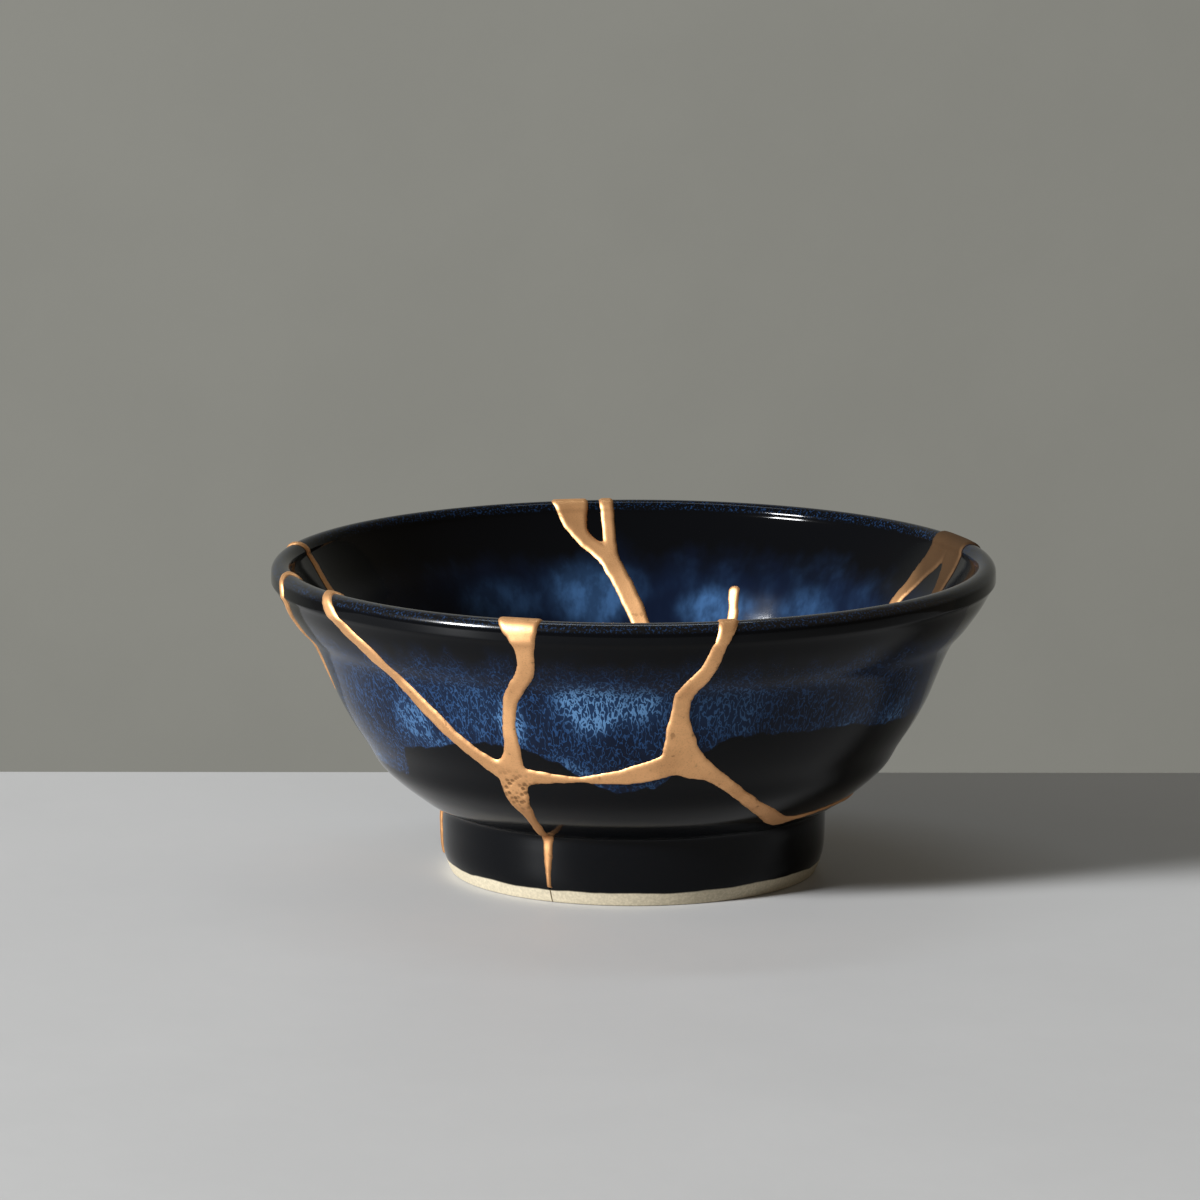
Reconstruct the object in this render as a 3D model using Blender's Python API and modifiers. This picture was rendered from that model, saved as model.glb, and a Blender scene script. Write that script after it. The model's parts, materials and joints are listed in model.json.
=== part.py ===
"""A broken tea bowl mended with gold: its fragments, and the one network of gold seams that joins them.

The bowl is turned about Z and stands on its foot ring at z = 0. Angles run anticlockwise from +X, and
the front is at 270 degrees. Every crack is a line of stations on the wall or on the floor. The same
stations cut the fragments apart and lay the seam between them.
"""

import math

import bmesh
import bpy
from mathutils import Vector

MM = 0.001
UP = Vector((0.0, 0.0, 1.0))

# Driving dimensions of the bowl
RIM_RADIUS = 73.2 * MM
BOWL_HEIGHT = 63.6 * MM
LIP_THICKNESS = 4.4 * MM
WALL = 4.6 * MM
WALL_AT_FOOT = 6.2 * MM
FOOT_RADIUS = 39.2 * MM
FOOT_HEIGHT = 13.7 * MM
FOOT_TAPER = 2.0 * MM
FOOT_RING_WIDTH = 6.5 * MM
RECESS_DEPTH = 8.2 * MM
FLOOR_THICKNESS = 7.0 * MM
BARE_BAND = 3.2 * MM
TURNING_STEPS = 28

# Driving dimensions of the mending
CLEARANCE = 0.3 * MM
CROWN = 0.4 * MM
WEB = 0.25 * MM
HAIRLINE = 0.35 * MM

# The outer wall, from the lip down to the foot joint, as shares of the way out and up from the joint
OUTER_SHAPE = (
    (1.0, 1.0),
    (1.0, 0.965),
    (0.977, 0.941),
    (0.930, 0.880),
    (0.874, 0.822),
    (0.830, 0.780),
    (0.758, 0.723),
    (0.723, 0.679),
    (0.664, 0.581),
    (0.606, 0.480),
    (0.530, 0.379),
    (0.438, 0.279),
    (0.371, 0.199),
    (0.274, 0.130),
    (0.164, 0.069),
    (0.077, 0.025),
    (0.0, 0.0),
)
FIRST_BELOW_LIP_BEAD = 4
INNER_STEP = 2
# The floor inside, from its edge to its middle: shares of its radius and of its rise
FLOOR_SHAPE = ((0.76, 0.55), (0.50, 0.24), (0.25, 0.06), (0.0, 0.0))

# Cracks in the wall: (angle in degrees, share of the way down from lip to foot joint, half width in mm)
WALL_CRACKS = {
    "front_left": (
        (212.5, 0.0, 1.3),
        (215.4, 0.069, 1.7),
        (218.7, 0.145, 1.9),
        (221.3, 0.205, 2.1),
        (224.2, 0.312, 1.7),
        (230.2, 0.434, 1.8),
        (238.6, 0.573, 1.8),
        (244.7, 0.633, 2.8),
        (250.9, 0.636, 1.8),
        (258.4, 0.636, 0.9),
        (266.0, 0.626, 1.8),
        (273.6, 0.595, 2.8),
        (279.8, 0.55, 2.4),
    ),
    "front": (
        (252.1, 0.0, 4.4),
        (252.8, 0.06, 3.1),
        (252.9, 0.13, 2.0),
        (252.0, 0.221, 1.9),
        (248.3, 0.332, 1.7),
        (246.8, 0.423, 1.5),
        (246.3, 0.535, 1.9),
        (244.7, 0.636, 3.0),
        (244.3, 0.737, 2.5),
        (244.9, 0.828, 1.3),
        (244.4, 0.949, 1.1),
        (244.3, 1.0, 1.1),
    ),
    "front_right": (
        (285.0, 0.0, 2.1),
        (283.7, 0.07, 1.5),
        (281.9, 0.199, 1.8),
        (279.2, 0.292, 2.1),
        (278.3, 0.369, 1.8),
        (278.6, 0.464, 2.9),
        (279.8, 0.55, 3.8),
        (286.3, 0.623, 1.9),
        (293.7, 0.717, 1.4),
        (303.0, 0.828, 1.9),
        (310.0, 0.899, 1.9),
        (316.5, 0.904, 0.8),
        (337.0, 0.884, 0.5),
        (355.0, 0.899, 0.6),
        (379.0, 0.909, 0.8),
        (400.5, 0.929, 0.9),
    ),
    "left": (
        (194.0, 0.0, 1.1),
        (198.0, 0.09, 1.1),
        (193.5, 0.26, 1.2),
        (183.0, 0.474, 1.2),
        (174.0, 0.616, 1.5),
        (178.0, 0.747, 1.3),
        (183.0, 0.899, 1.2),
        (184.0, 1.0, 1.2),
    ),
    "back_left": (
        (166.0, 0.0, 1.1),
        (164.5, 0.09, 1.1),
        (165.2, 0.2, 1.2),
        (168.0, 0.49, 1.2),
        (174.0, 0.616, 1.3),
    ),
    "back": (
        (101.0, 0.0, 4.0),
        (100.7, 0.07, 3.1),
        (99.6, 0.147, 1.9),
        (95.4, 0.235, 2.1),
        (92.2, 0.345, 2.1),
        (84.0, 0.675, 1.8),
        (80.8, 0.858, 1.6),
        (80.0, 1.0, 1.5),
    ),
    "back_fork": (
        (94.8, 0.0, 1.5),
        (94.5, 0.12, 1.5),
        (94.0, 0.25, 1.4),
    ),
    "back_right": (
        (69.0, 0.36, 1.2),
        (68.6, 0.47, 1.2),
        (73.0, 0.675, 1.3),
        (81.0, 0.868, 1.3),
    ),
    "right_fork": (
        (23.2, 0.0, 4.1),
        (23.3, 0.09, 3.9),
        (25.0, 0.17, 2.8),
        (26.1, 0.26, 2.1),
        (28.5, 0.42, 1.6),
        (35.0, 0.72, 1.3),
        (40.5, 0.919, 1.2),
        (41.0, 1.0, 1.2),
    ),
    "right": (
        (17.6, 0.0, 4.2),
        (16.5, 0.09, 3.8),
        (14.8, 0.17, 2.6),
        (13.8, 0.25, 1.6),
        (14.5, 0.47, 1.3),
        (16.8, 0.717, 1.2),
        (19.0, 0.909, 1.0),
    ),
}
# Cracks in the floor: (angle in degrees, share of the foot's radius, half width in mm)
FLOOR_CRACKS = {
    "floor_across": (
        (244.3, 1.0, 1.3),
        (244.3, 0.75, 1.2),
        (241.0, 0.50, 1.2),
        (150.0, 0.20, 1.4),
        (85.0, 0.12, 1.3),
        (42.0, 0.28, 1.4),
        (75.0, 0.50, 1.3),
        (80.0, 0.75, 1.3),
        (80.0, 1.0, 1.3),
    ),
    "floor_left": ((184.0, 1.0, 1.4), (184.0, 0.75, 1.3), (179.0, 0.50, 1.2), (150.0, 0.20, 1.2)),
    "floor_right": ((42.0, 0.28, 1.2), (38.0, 0.50, 1.2), (41.0, 0.75, 1.1), (41.0, 1.0, 1.1)),
}
# Each fragment, by a place on its wall: (angle in degrees, share of the way down)
FRAGMENTS = {
    "sherd_front_left": (216.0, 0.50),
    "sherd_front_wedge": (236.0, 0.20),
    "sherd_front_middle": (267.0, 0.30),
    "sherd_right": (330.0, 0.40),
    "sherd_front_foot": (270.0, 0.85),
    "sherd_right_splinter": (23.5, 0.55),
    "sherd_back_right": (50.0, 0.30),
    "sherd_back_splinter": (96.9, 0.10),
    "sherd_back_left": (130.0, 0.40),
    "sherd_left_wedge": (180.0, 0.20),
}
# Down to this share of the wall a seam fills its whole thickness, as lost chips on the lip are filled
CHIP_SHARE = 0.06
# The first station of a seam that crosses the lip
LIP_SHARE = 0.018
LIP_STEPS = 2
# Where a seam fills the wall's thickness its cutter leaves this many clearances: on the lip, and below it
LIP_GAPS = 3
CHIP_GAPS = 2
CUTTER_REACH = 1.2 * MM
# Two stations lie at most this share apart: of the wall's length, or of the foot's radius in the floor
STATION_SPACING = 0.30
# A turn of one radian counts as this share of the wall's length
TURN_SHARE = 0.95
# Inside the foot ring a floor seam has two stations this far in, as shares of the foot's taper
STATION_IN_RING = 0.7
STATION_UNDER_ROOF = 1.3
# Each seam runs past the place where it meets others by this share of its half width
OVERRUN_SHARE = 0.45
CRUMB_VOLUME = (1.2 * MM) ** 3

BLACK_GLAZE = (0.012, 0.020, 0.050, 1.0)
GOLD = (0.62, 0.36, 0.17, 1.0)


def clear_scene():
    for obj in list(bpy.data.objects):
        bpy.data.objects.remove(obj, do_unlink=True)


def make_collection(name):
    collection = bpy.data.collections.new(name)
    bpy.context.scene.collection.children.link(collection)
    return collection


def make_material(name, colour, roughness, metallic):
    material = bpy.data.materials.new(name)
    material.use_nodes = True
    shader = material.node_tree.nodes["Principled BSDF"]
    shader.inputs["Base Color"].default_value = colour
    shader.inputs["Roughness"].default_value = roughness
    shader.inputs["Metallic"].default_value = metallic
    return material


def lip_arc(start, end):
    """Points of the half-round lip, from one angle to the other, in degrees from the horizontal."""
    radius = LIP_THICKNESS / 2
    points = []
    for step in range(LIP_STEPS + 1):
        turn = math.radians(start + (end - start) * step / LIP_STEPS)
        across = RIM_RADIUS - radius + radius * math.cos(turn)
        points.append((across, BOWL_HEIGHT - radius + radius * math.sin(turn)))
    return points


def outer_wall():
    """The outside of the wall, from just under the lip down to the foot joint."""
    rise = BOWL_HEIGHT - LIP_THICKNESS / 2 - FOOT_HEIGHT
    reach = RIM_RADIUS - FOOT_RADIUS
    return [(FOOT_RADIUS + reach * out, FOOT_HEIGHT + rise * up) for out, up in OUTER_SHAPE]


def inner_wall():
    """The inside of the wall: the outside moved in by a thickness that grows towards the foot."""
    outside = outer_wall()
    last = len(outside) - 1
    points = []
    for index in range(FIRST_BELOW_LIP_BEAD, last + 1, INNER_STEP):
        above = outside[max(index - 2, 0)]
        below = outside[min(index + 2, last)]
        slope = math.atan2(above[1] - below[1], above[0] - below[0])
        depth = (index - FIRST_BELOW_LIP_BEAD) / (last - FIRST_BELOW_LIP_BEAD)
        thickness = WALL + (WALL_AT_FOOT - WALL) * depth**2
        radius, height = outside[index]
        points.append((radius - thickness * math.sin(slope), height + thickness * math.cos(slope)))
    return points


def floor_heights():
    """The heights of the recess roof and of the floor's middle."""
    roof = RECESS_DEPTH
    return roof, roof + FLOOR_THICKNESS


def floor_curve():
    """The inside of the floor, from the wall's end to the middle."""
    edge_radius, edge_height = inner_wall()[-1]
    middle = floor_heights()[1]
    return [(edge_radius * out, middle + (edge_height - middle) * up) for out, up in FLOOR_SHAPE]


def foot_outline():
    """The foot ring and the recess under the floor, from the joint to the axis."""
    roof = floor_heights()[0]
    ground = FOOT_RADIUS - FOOT_TAPER
    inside = ground - FOOT_RING_WIDTH
    return [
        (FOOT_RADIUS - 0.1 * FOOT_TAPER, FOOT_HEIGHT * 0.75),
        (FOOT_RADIUS - 0.3 * FOOT_TAPER, BARE_BAND * 1.3),
        (ground, 0.0),
        (inside, 0.0),
        (inside - 0.5 * FOOT_TAPER, 0.8 * roof),
        (0.92 * (inside - 0.5 * FOOT_TAPER), roof),
        (0.0, roof),
    ]


class Face:
    """One side of the wall as a line from the top of the lip down, read by the share of its length."""

    def __init__(self, points, outward):
        self.points = [Vector((radius, height)) for radius, height in points]
        self.outward = outward
        self.marks = [0.0]
        for first, second in zip(self.points, self.points[1:]):
            self.marks.append(self.marks[-1] + (second - first).length)
        self.length = self.marks[-1]

    def place(self, share, lift):
        """Radius and height of the point at this share, raised off the surface by lift."""
        along = min(max(share, 0.0), 1.0) * self.length
        index = 0
        while index < len(self.points) - 2 and self.marks[index + 1] < along:
            index += 1
        start, end = self.points[index], self.points[index + 1]
        step = self.marks[index + 1] - self.marks[index]
        heading = (end - start) / step
        spot = start + heading * (along - self.marks[index])
        normal = Vector((-heading.y, heading.x)) * self.outward
        return spot + normal * lift

    def point(self, angle, share, lift=0.0):
        radius, height = self.place(share, lift)
        return Vector((radius * math.cos(angle), radius * math.sin(angle), height))

    def beside(self, station, heading, offset, lift):
        """The point at this distance to the side of the crack, following the surface round."""
        radius = self.place(station.share, 0.0).x
        run = Vector((radius * heading[0], self.length * heading[1])).normalized()
        angle = station.angle - offset * run.y / radius
        return self.point(angle, station.share + offset * run.x / self.length, lift)


class Station:
    """A place on a crack: angle, share of the way down the wall, and half width of the seam."""

    def __init__(self, angle, share, half_width):
        self.angle = angle
        self.share = share
        self.half_width = half_width


def smooth_line(controls, spacing, measure):
    """A Catmull-Rom curve through the controls, with points between those that are far apart."""
    ends = [controls[0] * 2 - controls[1], *controls, controls[-1] * 2 - controls[-2]]
    line = []
    for a, b, c, d in zip(ends, ends[1:], ends[2:], ends[3:]):
        count = max(1, round(measure(b, c) / spacing))
        for step in range(count):
            t = step / count
            bend = (a * 2 - b * 5 + c * 4 - d) * t**2 + (b * 3 - a - c * 3 + d) * t**3
            line.append((b * 2 + (c - a) * t + bend) / 2)
    line.append(controls[-1])
    return line


def wall_stations(controls):
    """The stations of a crack in the wall. One that reaches the rim has two stations on the lip."""
    points = [Vector((math.radians(angle), share, half * MM)) for angle, share, half in controls]
    starts_on_rim = points[0].y == 0.0

    def distance(first, second):
        return math.hypot(TURN_SHARE * (second.x - first.x), second.y - first.y)

    line = smooth_line(points, STATION_SPACING, distance)
    if starts_on_rim:
        first = line[0]
        below = [point for point in line if point.y > 1.5 * CHIP_SHARE]
        chip_end = first.lerp(below[0], CHIP_SHARE / below[0].y)
        chip_end.y = CHIP_SHARE
        line = [Vector((first.x, LIP_SHARE, first.z)), chip_end, *below]
    return [Station(point.x, point.y, point.z) for point in line], starts_on_rim


def across_face(half, edge_lift, reach):
    """Places across one face of a section, sideways and outwards: a seam's crown or a cutter's box."""
    if reach:
        return ((-half, edge_lift), (-half, reach), (half, reach), (half, edge_lift))
    return ((-half, edge_lift), (0.0, CROWN), (half, edge_lift))


def ring_of(upper, lower, middle, across):
    """The points round a seam: its upper face, the right waist, its lower face, the left waist."""
    return [*upper, middle + across, *reversed(lower), middle - across]


def loft(name, rings, collection):
    """A closed tube of like rings, each end closed by a fan about the middle of its waist."""
    mesh_data = bmesh.new()
    rows = [[mesh_data.verts.new(point) for point in ring] for ring in rings]
    sides = len(rings[0])
    for row, following in zip(rows, rows[1:]):
        for index in range(sides):
            after = (index + 1) % sides
            mesh_data.faces.new((row[index], row[after], following[after]))
            mesh_data.faces.new((row[index], following[after], following[index]))
    for row in (rows[0], rows[-1]):
        centre = mesh_data.verts.new((row[sides // 2 - 1].co + row[-1].co) / 2)
        for index in range(sides):
            mesh_data.faces.new((row[index], row[(index + 1) % sides], centre))
    bmesh.ops.recalc_face_normals(mesh_data, faces=mesh_data.faces)
    if mesh_data.calc_volume(signed=True) < 0:
        bmesh.ops.reverse_faces(mesh_data, faces=mesh_data.faces)
    mesh = bpy.data.meshes.new(name)
    mesh_data.to_mesh(mesh)
    mesh_data.free()
    obj = bpy.data.objects.new(name, mesh)
    collection.objects.link(obj)
    return obj


def wall_seam(name, controls, faces, collection, spread):
    """The seam in a wall crack, or with a spread the cutter that leaves this clearance round it."""
    stations, starts_on_rim = wall_stations(controls)
    reach = CUTTER_REACH if spread else 0.0
    rings = []
    for index, station in enumerate(stations):
        before = stations[max(index - 1, 0)]
        after = stations[min(index + 1, len(stations) - 1)]
        on_lip = starts_on_rim and index == 0
        heading = (0.0 if on_lip else after.angle - before.angle, after.share - before.share)
        filled = station.share <= CHIP_SHARE
        gaps = LIP_GAPS if on_lip else CHIP_GAPS if filled else 1
        half = station.half_width + gaps * spread
        edge_lift = max(CROWN, reach - CROWN) if on_lip else 0.0
        places = across_face(half, edge_lift, reach)
        sides = [
            [face.beside(station, heading, offset, lift) for offset, lift in places] for face in faces
        ]
        middle = sum(sides[0] + sides[1], Vector()) / (2 * len(places))
        if on_lip:
            middle.z = BOWL_HEIGHT + max(CROWN, reach)
        across = (sides[0][-1] - sides[0][0]).normalized() * (half if filled else WEB + spread)
        rings.append(ring_of(sides[0], sides[1], middle, across))
    half_widths = [station.half_width for station in stations]
    return loft(name, extend_ends(rings, half_widths, spread, starts_on_rim), collection)


def extend_ends(rings, half_widths, spread, starts_on_rim):
    """Moves the end rings on past the place where seams meet, a cutter's by the clearance more."""
    ends = [(-1, -2)] if starts_on_rim else [(0, 1), (-1, -2)]
    for end, neighbour in ends:
        centre = sum(rings[end], Vector()) / len(rings[end])
        heading = (centre - sum(rings[neighbour], Vector()) / len(rings[end])).normalized()
        shift = heading * (OVERRUN_SHARE * half_widths[end] + spread)
        rings[end] = [point + shift for point in rings[end]]
    return rings


def height_on(curve, radius):
    """The height of a profile curve, listed from its outer end inwards, at this radius."""
    for (outer, high), (inner, low) in zip(curve, curve[1:]):
        if inner <= radius <= outer:
            return low + (high - low) * (radius - inner) / (outer - inner)
    return curve[0][1]


def floor_seam(name, controls, collection, spread):
    """The seam in a floor crack, down to the recess roof and in the foot ring to its bare band."""
    points = []
    for angle, share, half_width in controls:
        turn = math.radians(angle)
        radius = FOOT_RADIUS * share
        points.append(Vector((radius * math.cos(turn), radius * math.sin(turn), half_width * MM)))
    line = with_foot_stations(
        smooth_line(points, STATION_SPACING, lambda first, second: (second - first).xy.length / FOOT_RADIUS)
    )
    surface = [*inner_wall(), *floor_curve()]
    ring_inside = FOOT_RADIUS - FOOT_TAPER - FOOT_RING_WIDTH
    roof = floor_heights()[0]
    reach = CUTTER_REACH if spread else 0.0
    rings = []
    for index, point in enumerate(line):
        before = line[max(index - 1, 0)]
        after = line[min(index + 1, len(line) - 1)]
        heading = Vector((after.x - before.x, after.y - before.y, 0.0)).normalized()
        side = Vector((-heading.y, heading.x, 0.0))
        centre = Vector((point.x, point.y, 0.0))
        in_foot = centre.length > ring_inside - FOOT_TAPER
        half = point.z + spread
        waist = half if centre.length > FOOT_RADIUS else WEB + spread
        top = height_on(surface, centre.length)
        bottom = BARE_BAND if in_foot else roof
        above = across_face(half, 0.0, reach)
        upper = [centre + side * offset + UP * (top + lift) for offset, lift in above]
        below = across_face(waist, 0.0, spread) if in_foot else above
        lower = [centre + side * offset + UP * (bottom - lift) for offset, lift in below]
        rings.append(ring_of(upper, lower, centre + UP * (top + bottom) / 2, side * waist))
    return loft(name, extend_ends(rings, [point.z for point in line], spread, False), collection)


def with_foot_stations(line):
    """Puts stations where a floor crack that ends in the foot ring meets its face and its inside."""
    ground = FOOT_RADIUS - FOOT_TAPER
    inside = ground - FOOT_RING_WIDTH
    in_ring = inside - STATION_IN_RING * FOOT_TAPER
    under_roof = inside - STATION_UNDER_ROOF * FOOT_TAPER
    radii = (FOOT_RADIUS + CROWN, ground, in_ring, under_roof)
    stations = [point for point in line if point.xy.length < radii[-1] - CLEARANCE]
    for end in (line[0], line[-1]):
        if end.xy.length < FOOT_RADIUS - CLEARANCE:
            continue
        along = Vector((end.x, end.y, 0.0)) / FOOT_RADIUS
        added = [along * radius + UP * end.z for radius in radii]
        stations = added + stations if end == line[0] else stations + added[::-1]
    return stations


def foot_hairline(name, angle, collection):
    """A thin upright sheet that parts the foot ring below its gold."""
    reach = FOOT_RING_WIDTH + 2 * FOOT_TAPER + 2 * CUTTER_REACH
    height = BARE_BAND + 2 * CUTTER_REACH
    middle = FOOT_RADIUS - FOOT_TAPER - FOOT_RING_WIDTH / 2
    bpy.ops.mesh.primitive_cube_add(size=1.0)
    sheet = bpy.context.active_object
    sheet.name = name
    sheet.scale = (reach, HAIRLINE, height)
    centre_height = BARE_BAND + CLEARANCE - height / 2
    sheet.location = (middle * math.cos(angle), middle * math.sin(angle), centre_height)
    sheet.rotation_euler = (0.0, 0.0, angle)
    for owner in list(sheet.users_collection):
        owner.objects.unlink(sheet)
    collection.objects.link(sheet)
    return sheet


def turned_bowl(collection):
    """The whole bowl before it broke, turned from its profile."""
    profile = list(reversed(floor_curve())) + list(reversed(inner_wall()))
    profile += list(reversed(lip_arc(90, 180)))[:-1] + list(reversed(lip_arc(0, 90)))
    profile += outer_wall()[1:] + foot_outline()
    mesh = bpy.data.meshes.new("whole_bowl")
    points = [(radius, 0.0, height) for radius, height in profile]
    mesh.from_pydata(points, [(index, index + 1) for index in range(len(points) - 1)], [])
    bowl = bpy.data.objects.new("whole_bowl", mesh)
    collection.objects.link(bowl)
    turn = bowl.modifiers.new("turn", "SCREW")
    turn.axis = "Z"
    turn.steps = TURNING_STEPS
    turn.render_steps = TURNING_STEPS
    turn.use_merge_vertices = True
    turn.merge_threshold = 0.00001
    return bowl


def combine(target, others, operation):
    """Cuts a whole collection from the target in one step, or joins it on."""
    step = target.modifiers.new(others.name, "BOOLEAN")
    step.operation = operation
    step.solver = "EXACT"
    step.operand_type = "COLLECTION"
    step.collection = others


def evaluated_mesh(obj, name):
    bpy.context.view_layer.update()
    graph = bpy.context.evaluated_depsgraph_get()
    mesh = bpy.data.meshes.new_from_object(obj.evaluated_get(graph))
    mesh.name = name
    return mesh


def hide_helper(obj):
    obj.hide_render = True
    obj.display_type = "WIRE"


def islands_of(mesh):
    """The separate closed bodies of a mesh, each as a bmesh of its own."""
    whole = bmesh.new()
    whole.from_mesh(mesh)
    bmesh.ops.triangulate(whole, faces=whole.faces)
    whole.verts.ensure_lookup_table()
    seen = set()
    islands = []
    for start in whole.verts:
        if start.index in seen:
            continue
        group = {start.index}
        stack = [start]
        while stack:
            for edge in stack.pop().link_edges:
                for vertex in edge.verts:
                    if vertex.index not in group:
                        group.add(vertex.index)
                        stack.append(vertex)
        seen |= group
        part = whole.copy()
        part.verts.ensure_lookup_table()
        others = [vertex for vertex in part.verts if vertex.index not in group]
        bmesh.ops.delete(part, geom=others, context="VERTS")
        if part.calc_volume() > CRUMB_VOLUME:
            islands.append(part)
        else:
            part.free()
    whole.free()
    return islands


def finish_node(name, mesh, material, collection):
    mesh.name = name
    mesh.materials.clear()
    mesh.materials.append(material)
    mesh.shade_smooth()
    mesh.set_sharp_from_angle(angle=math.radians(35))
    obj = bpy.data.objects.new(name, mesh)
    collection.objects.link(obj)
    return obj


def name_fragments(islands, faces, material, collection):
    """Gives each fragment's name to the island that lies at its place."""
    for name, (degrees, share) in FRAGMENTS.items():
        angle = math.radians(degrees)
        place = (faces[0].point(angle, share) + faces[1].point(angle, share)) / 2
        nearest = min(
            islands, key=lambda island: min((vertex.co - place).length for vertex in island.verts)
        )
        islands.remove(nearest)
        mesh = bpy.data.meshes.new(name)
        nearest.to_mesh(mesh)
        nearest.free()
        finish_node(name, mesh, material, collection)


def main():
    clear_scene()
    parts = make_collection("mended_bowl")
    helpers = make_collection("whole_shapes")
    cutters = make_collection("cutters")
    seams = make_collection("seams")
    glaze = make_material("black_blue_glaze", BLACK_GLAZE, 0.12, 0.0)
    gold = make_material("gold_lacquer", GOLD, 0.38, 1.0)
    lip_top_down = list(reversed(lip_arc(0, 90)))
    outside = Face(lip_top_down + outer_wall()[1:], 1)
    inside = Face(lip_arc(90, 180) + inner_wall(), -1)
    faces = (outside, inside)

    bowl = turned_bowl(helpers)
    for name, controls in WALL_CRACKS.items():
        wall_seam("cut_" + name, controls, faces, cutters, CLEARANCE)
        wall_seam("seam_" + name, controls, faces, seams, 0.0)
    for name, controls in FLOOR_CRACKS.items():
        floor_seam("cut_" + name, controls, cutters, CLEARANCE)
        floor_seam("seam_" + name, controls, seams, 0.0)
        for angle, share, _ in controls:
            if share == 1.0:
                foot_hairline("hairline_" + name, math.radians(angle), cutters)
    combine(bowl, cutters, "DIFFERENCE")
    first_seam = seams.objects[0]
    seams.objects.unlink(first_seam)
    helpers.objects.link(first_seam)
    combine(first_seam, seams, "UNION")
    fragments = islands_of(evaluated_mesh(bowl, "fragments"))
    name_fragments(fragments, faces, glaze, parts)
    finish_node("gold_seams", evaluated_mesh(first_seam, "gold_seams"), gold, parts)
    for collection in (helpers, cutters, seams):
        for helper in collection.objects:
            hide_helper(helper)


main()
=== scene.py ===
"""The looks of a dark-glazed tea bowl that was broken and mended with gold.

The bowl is turned about Z and stands at z = 0. Angles run anticlockwise from +X, and the front is at
270 degrees. A place on the wall is an angle and a share of the way down from the lip to the foot joint.
"""

import json
import math

import bpy
import numpy as np
from bpy.props import FloatProperty, FloatVectorProperty, IntProperty, PointerProperty
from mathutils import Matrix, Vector, noise

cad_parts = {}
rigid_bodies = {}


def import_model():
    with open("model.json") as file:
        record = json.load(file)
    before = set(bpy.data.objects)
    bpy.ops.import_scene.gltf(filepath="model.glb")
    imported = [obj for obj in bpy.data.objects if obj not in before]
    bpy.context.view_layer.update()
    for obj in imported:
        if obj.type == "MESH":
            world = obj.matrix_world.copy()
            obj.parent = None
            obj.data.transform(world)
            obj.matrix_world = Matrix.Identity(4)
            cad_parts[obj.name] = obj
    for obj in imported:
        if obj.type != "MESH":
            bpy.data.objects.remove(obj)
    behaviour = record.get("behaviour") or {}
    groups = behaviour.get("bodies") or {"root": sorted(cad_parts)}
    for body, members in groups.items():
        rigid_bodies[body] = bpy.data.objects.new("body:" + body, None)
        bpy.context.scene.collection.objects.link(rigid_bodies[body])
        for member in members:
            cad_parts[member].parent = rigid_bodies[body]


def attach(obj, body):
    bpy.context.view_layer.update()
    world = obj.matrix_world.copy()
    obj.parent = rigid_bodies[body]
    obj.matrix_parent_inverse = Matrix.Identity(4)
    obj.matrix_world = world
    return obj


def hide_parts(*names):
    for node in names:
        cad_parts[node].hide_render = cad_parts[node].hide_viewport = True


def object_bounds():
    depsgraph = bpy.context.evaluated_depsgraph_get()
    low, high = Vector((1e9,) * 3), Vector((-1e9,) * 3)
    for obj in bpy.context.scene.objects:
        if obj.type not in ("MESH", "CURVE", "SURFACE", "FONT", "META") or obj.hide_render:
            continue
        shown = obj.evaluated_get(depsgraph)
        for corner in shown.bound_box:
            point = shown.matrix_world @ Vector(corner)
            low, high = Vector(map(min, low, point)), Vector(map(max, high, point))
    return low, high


bl_info = {
    "name": "Gold-mended bowl",
    "version": (1, 0, 0),
    "blender": (4, 5, 0),
    "location": "3D View > Sidebar > Mended Bowl",
    "description": "Makes the glazed fragments, the gold seams and the studio of a mended bowl",
    "category": "Add Mesh",
}

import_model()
CAD_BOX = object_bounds()

MM = 0.001

# The thin sheets that part the fragments: half their thickness in the wall and in the foot, and how far they
# reach out of the clay and past the ends of a crack
CUT_HALF = 0.10 * MM
FOOT_CUT_HALF = 0.14 * MM
CUT_REACH = 1.6 * MM
OVERRUN = 0.7 * MM
FOOT_OVERRUN = 1.2 * MM
# The share of the way down where a sheet that starts at the rim turns from upright to following the wall
FIRST_CUT_SHARE = 0.03
# A crack in the floor that reaches past this share of the foot's radius goes on through the foot ring
FOOT_REACHED_SHARE = 0.9
# The seams' surface leaves out this much round the middle of the floor and of the recess
MIDDLE_LEFT_OUT = 3 * MM
# How close the dents and the brown pits of the porous gold lie
PIT_SCALE = 900.0
# A distance in metres that is larger than any between a place and its nearest seam
FAR = 1.0

# The outer wall, from the lip down to the foot joint: shares of the way out and of the way up from the joint
OUTER_SHAPE = (
    (1.0, 1.0), (1.0, 0.965), (0.977, 0.941), (0.930, 0.880), (0.874, 0.822), (0.830, 0.780),
    (0.758, 0.723), (0.723, 0.679), (0.664, 0.581), (0.606, 0.480), (0.530, 0.379), (0.438, 0.279),
    (0.371, 0.199), (0.274, 0.130), (0.164, 0.069), (0.077, 0.025), (0.0, 0.0),
)
FIRST_BELOW_LIP_BEAD = 3
# The floor inside, from its edge to its middle: shares of its radius and of its rise
FLOOR_SHAPE = ((0.76, 0.55), (0.50, 0.24), (0.25, 0.06), (0.0, 0.0))

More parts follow.
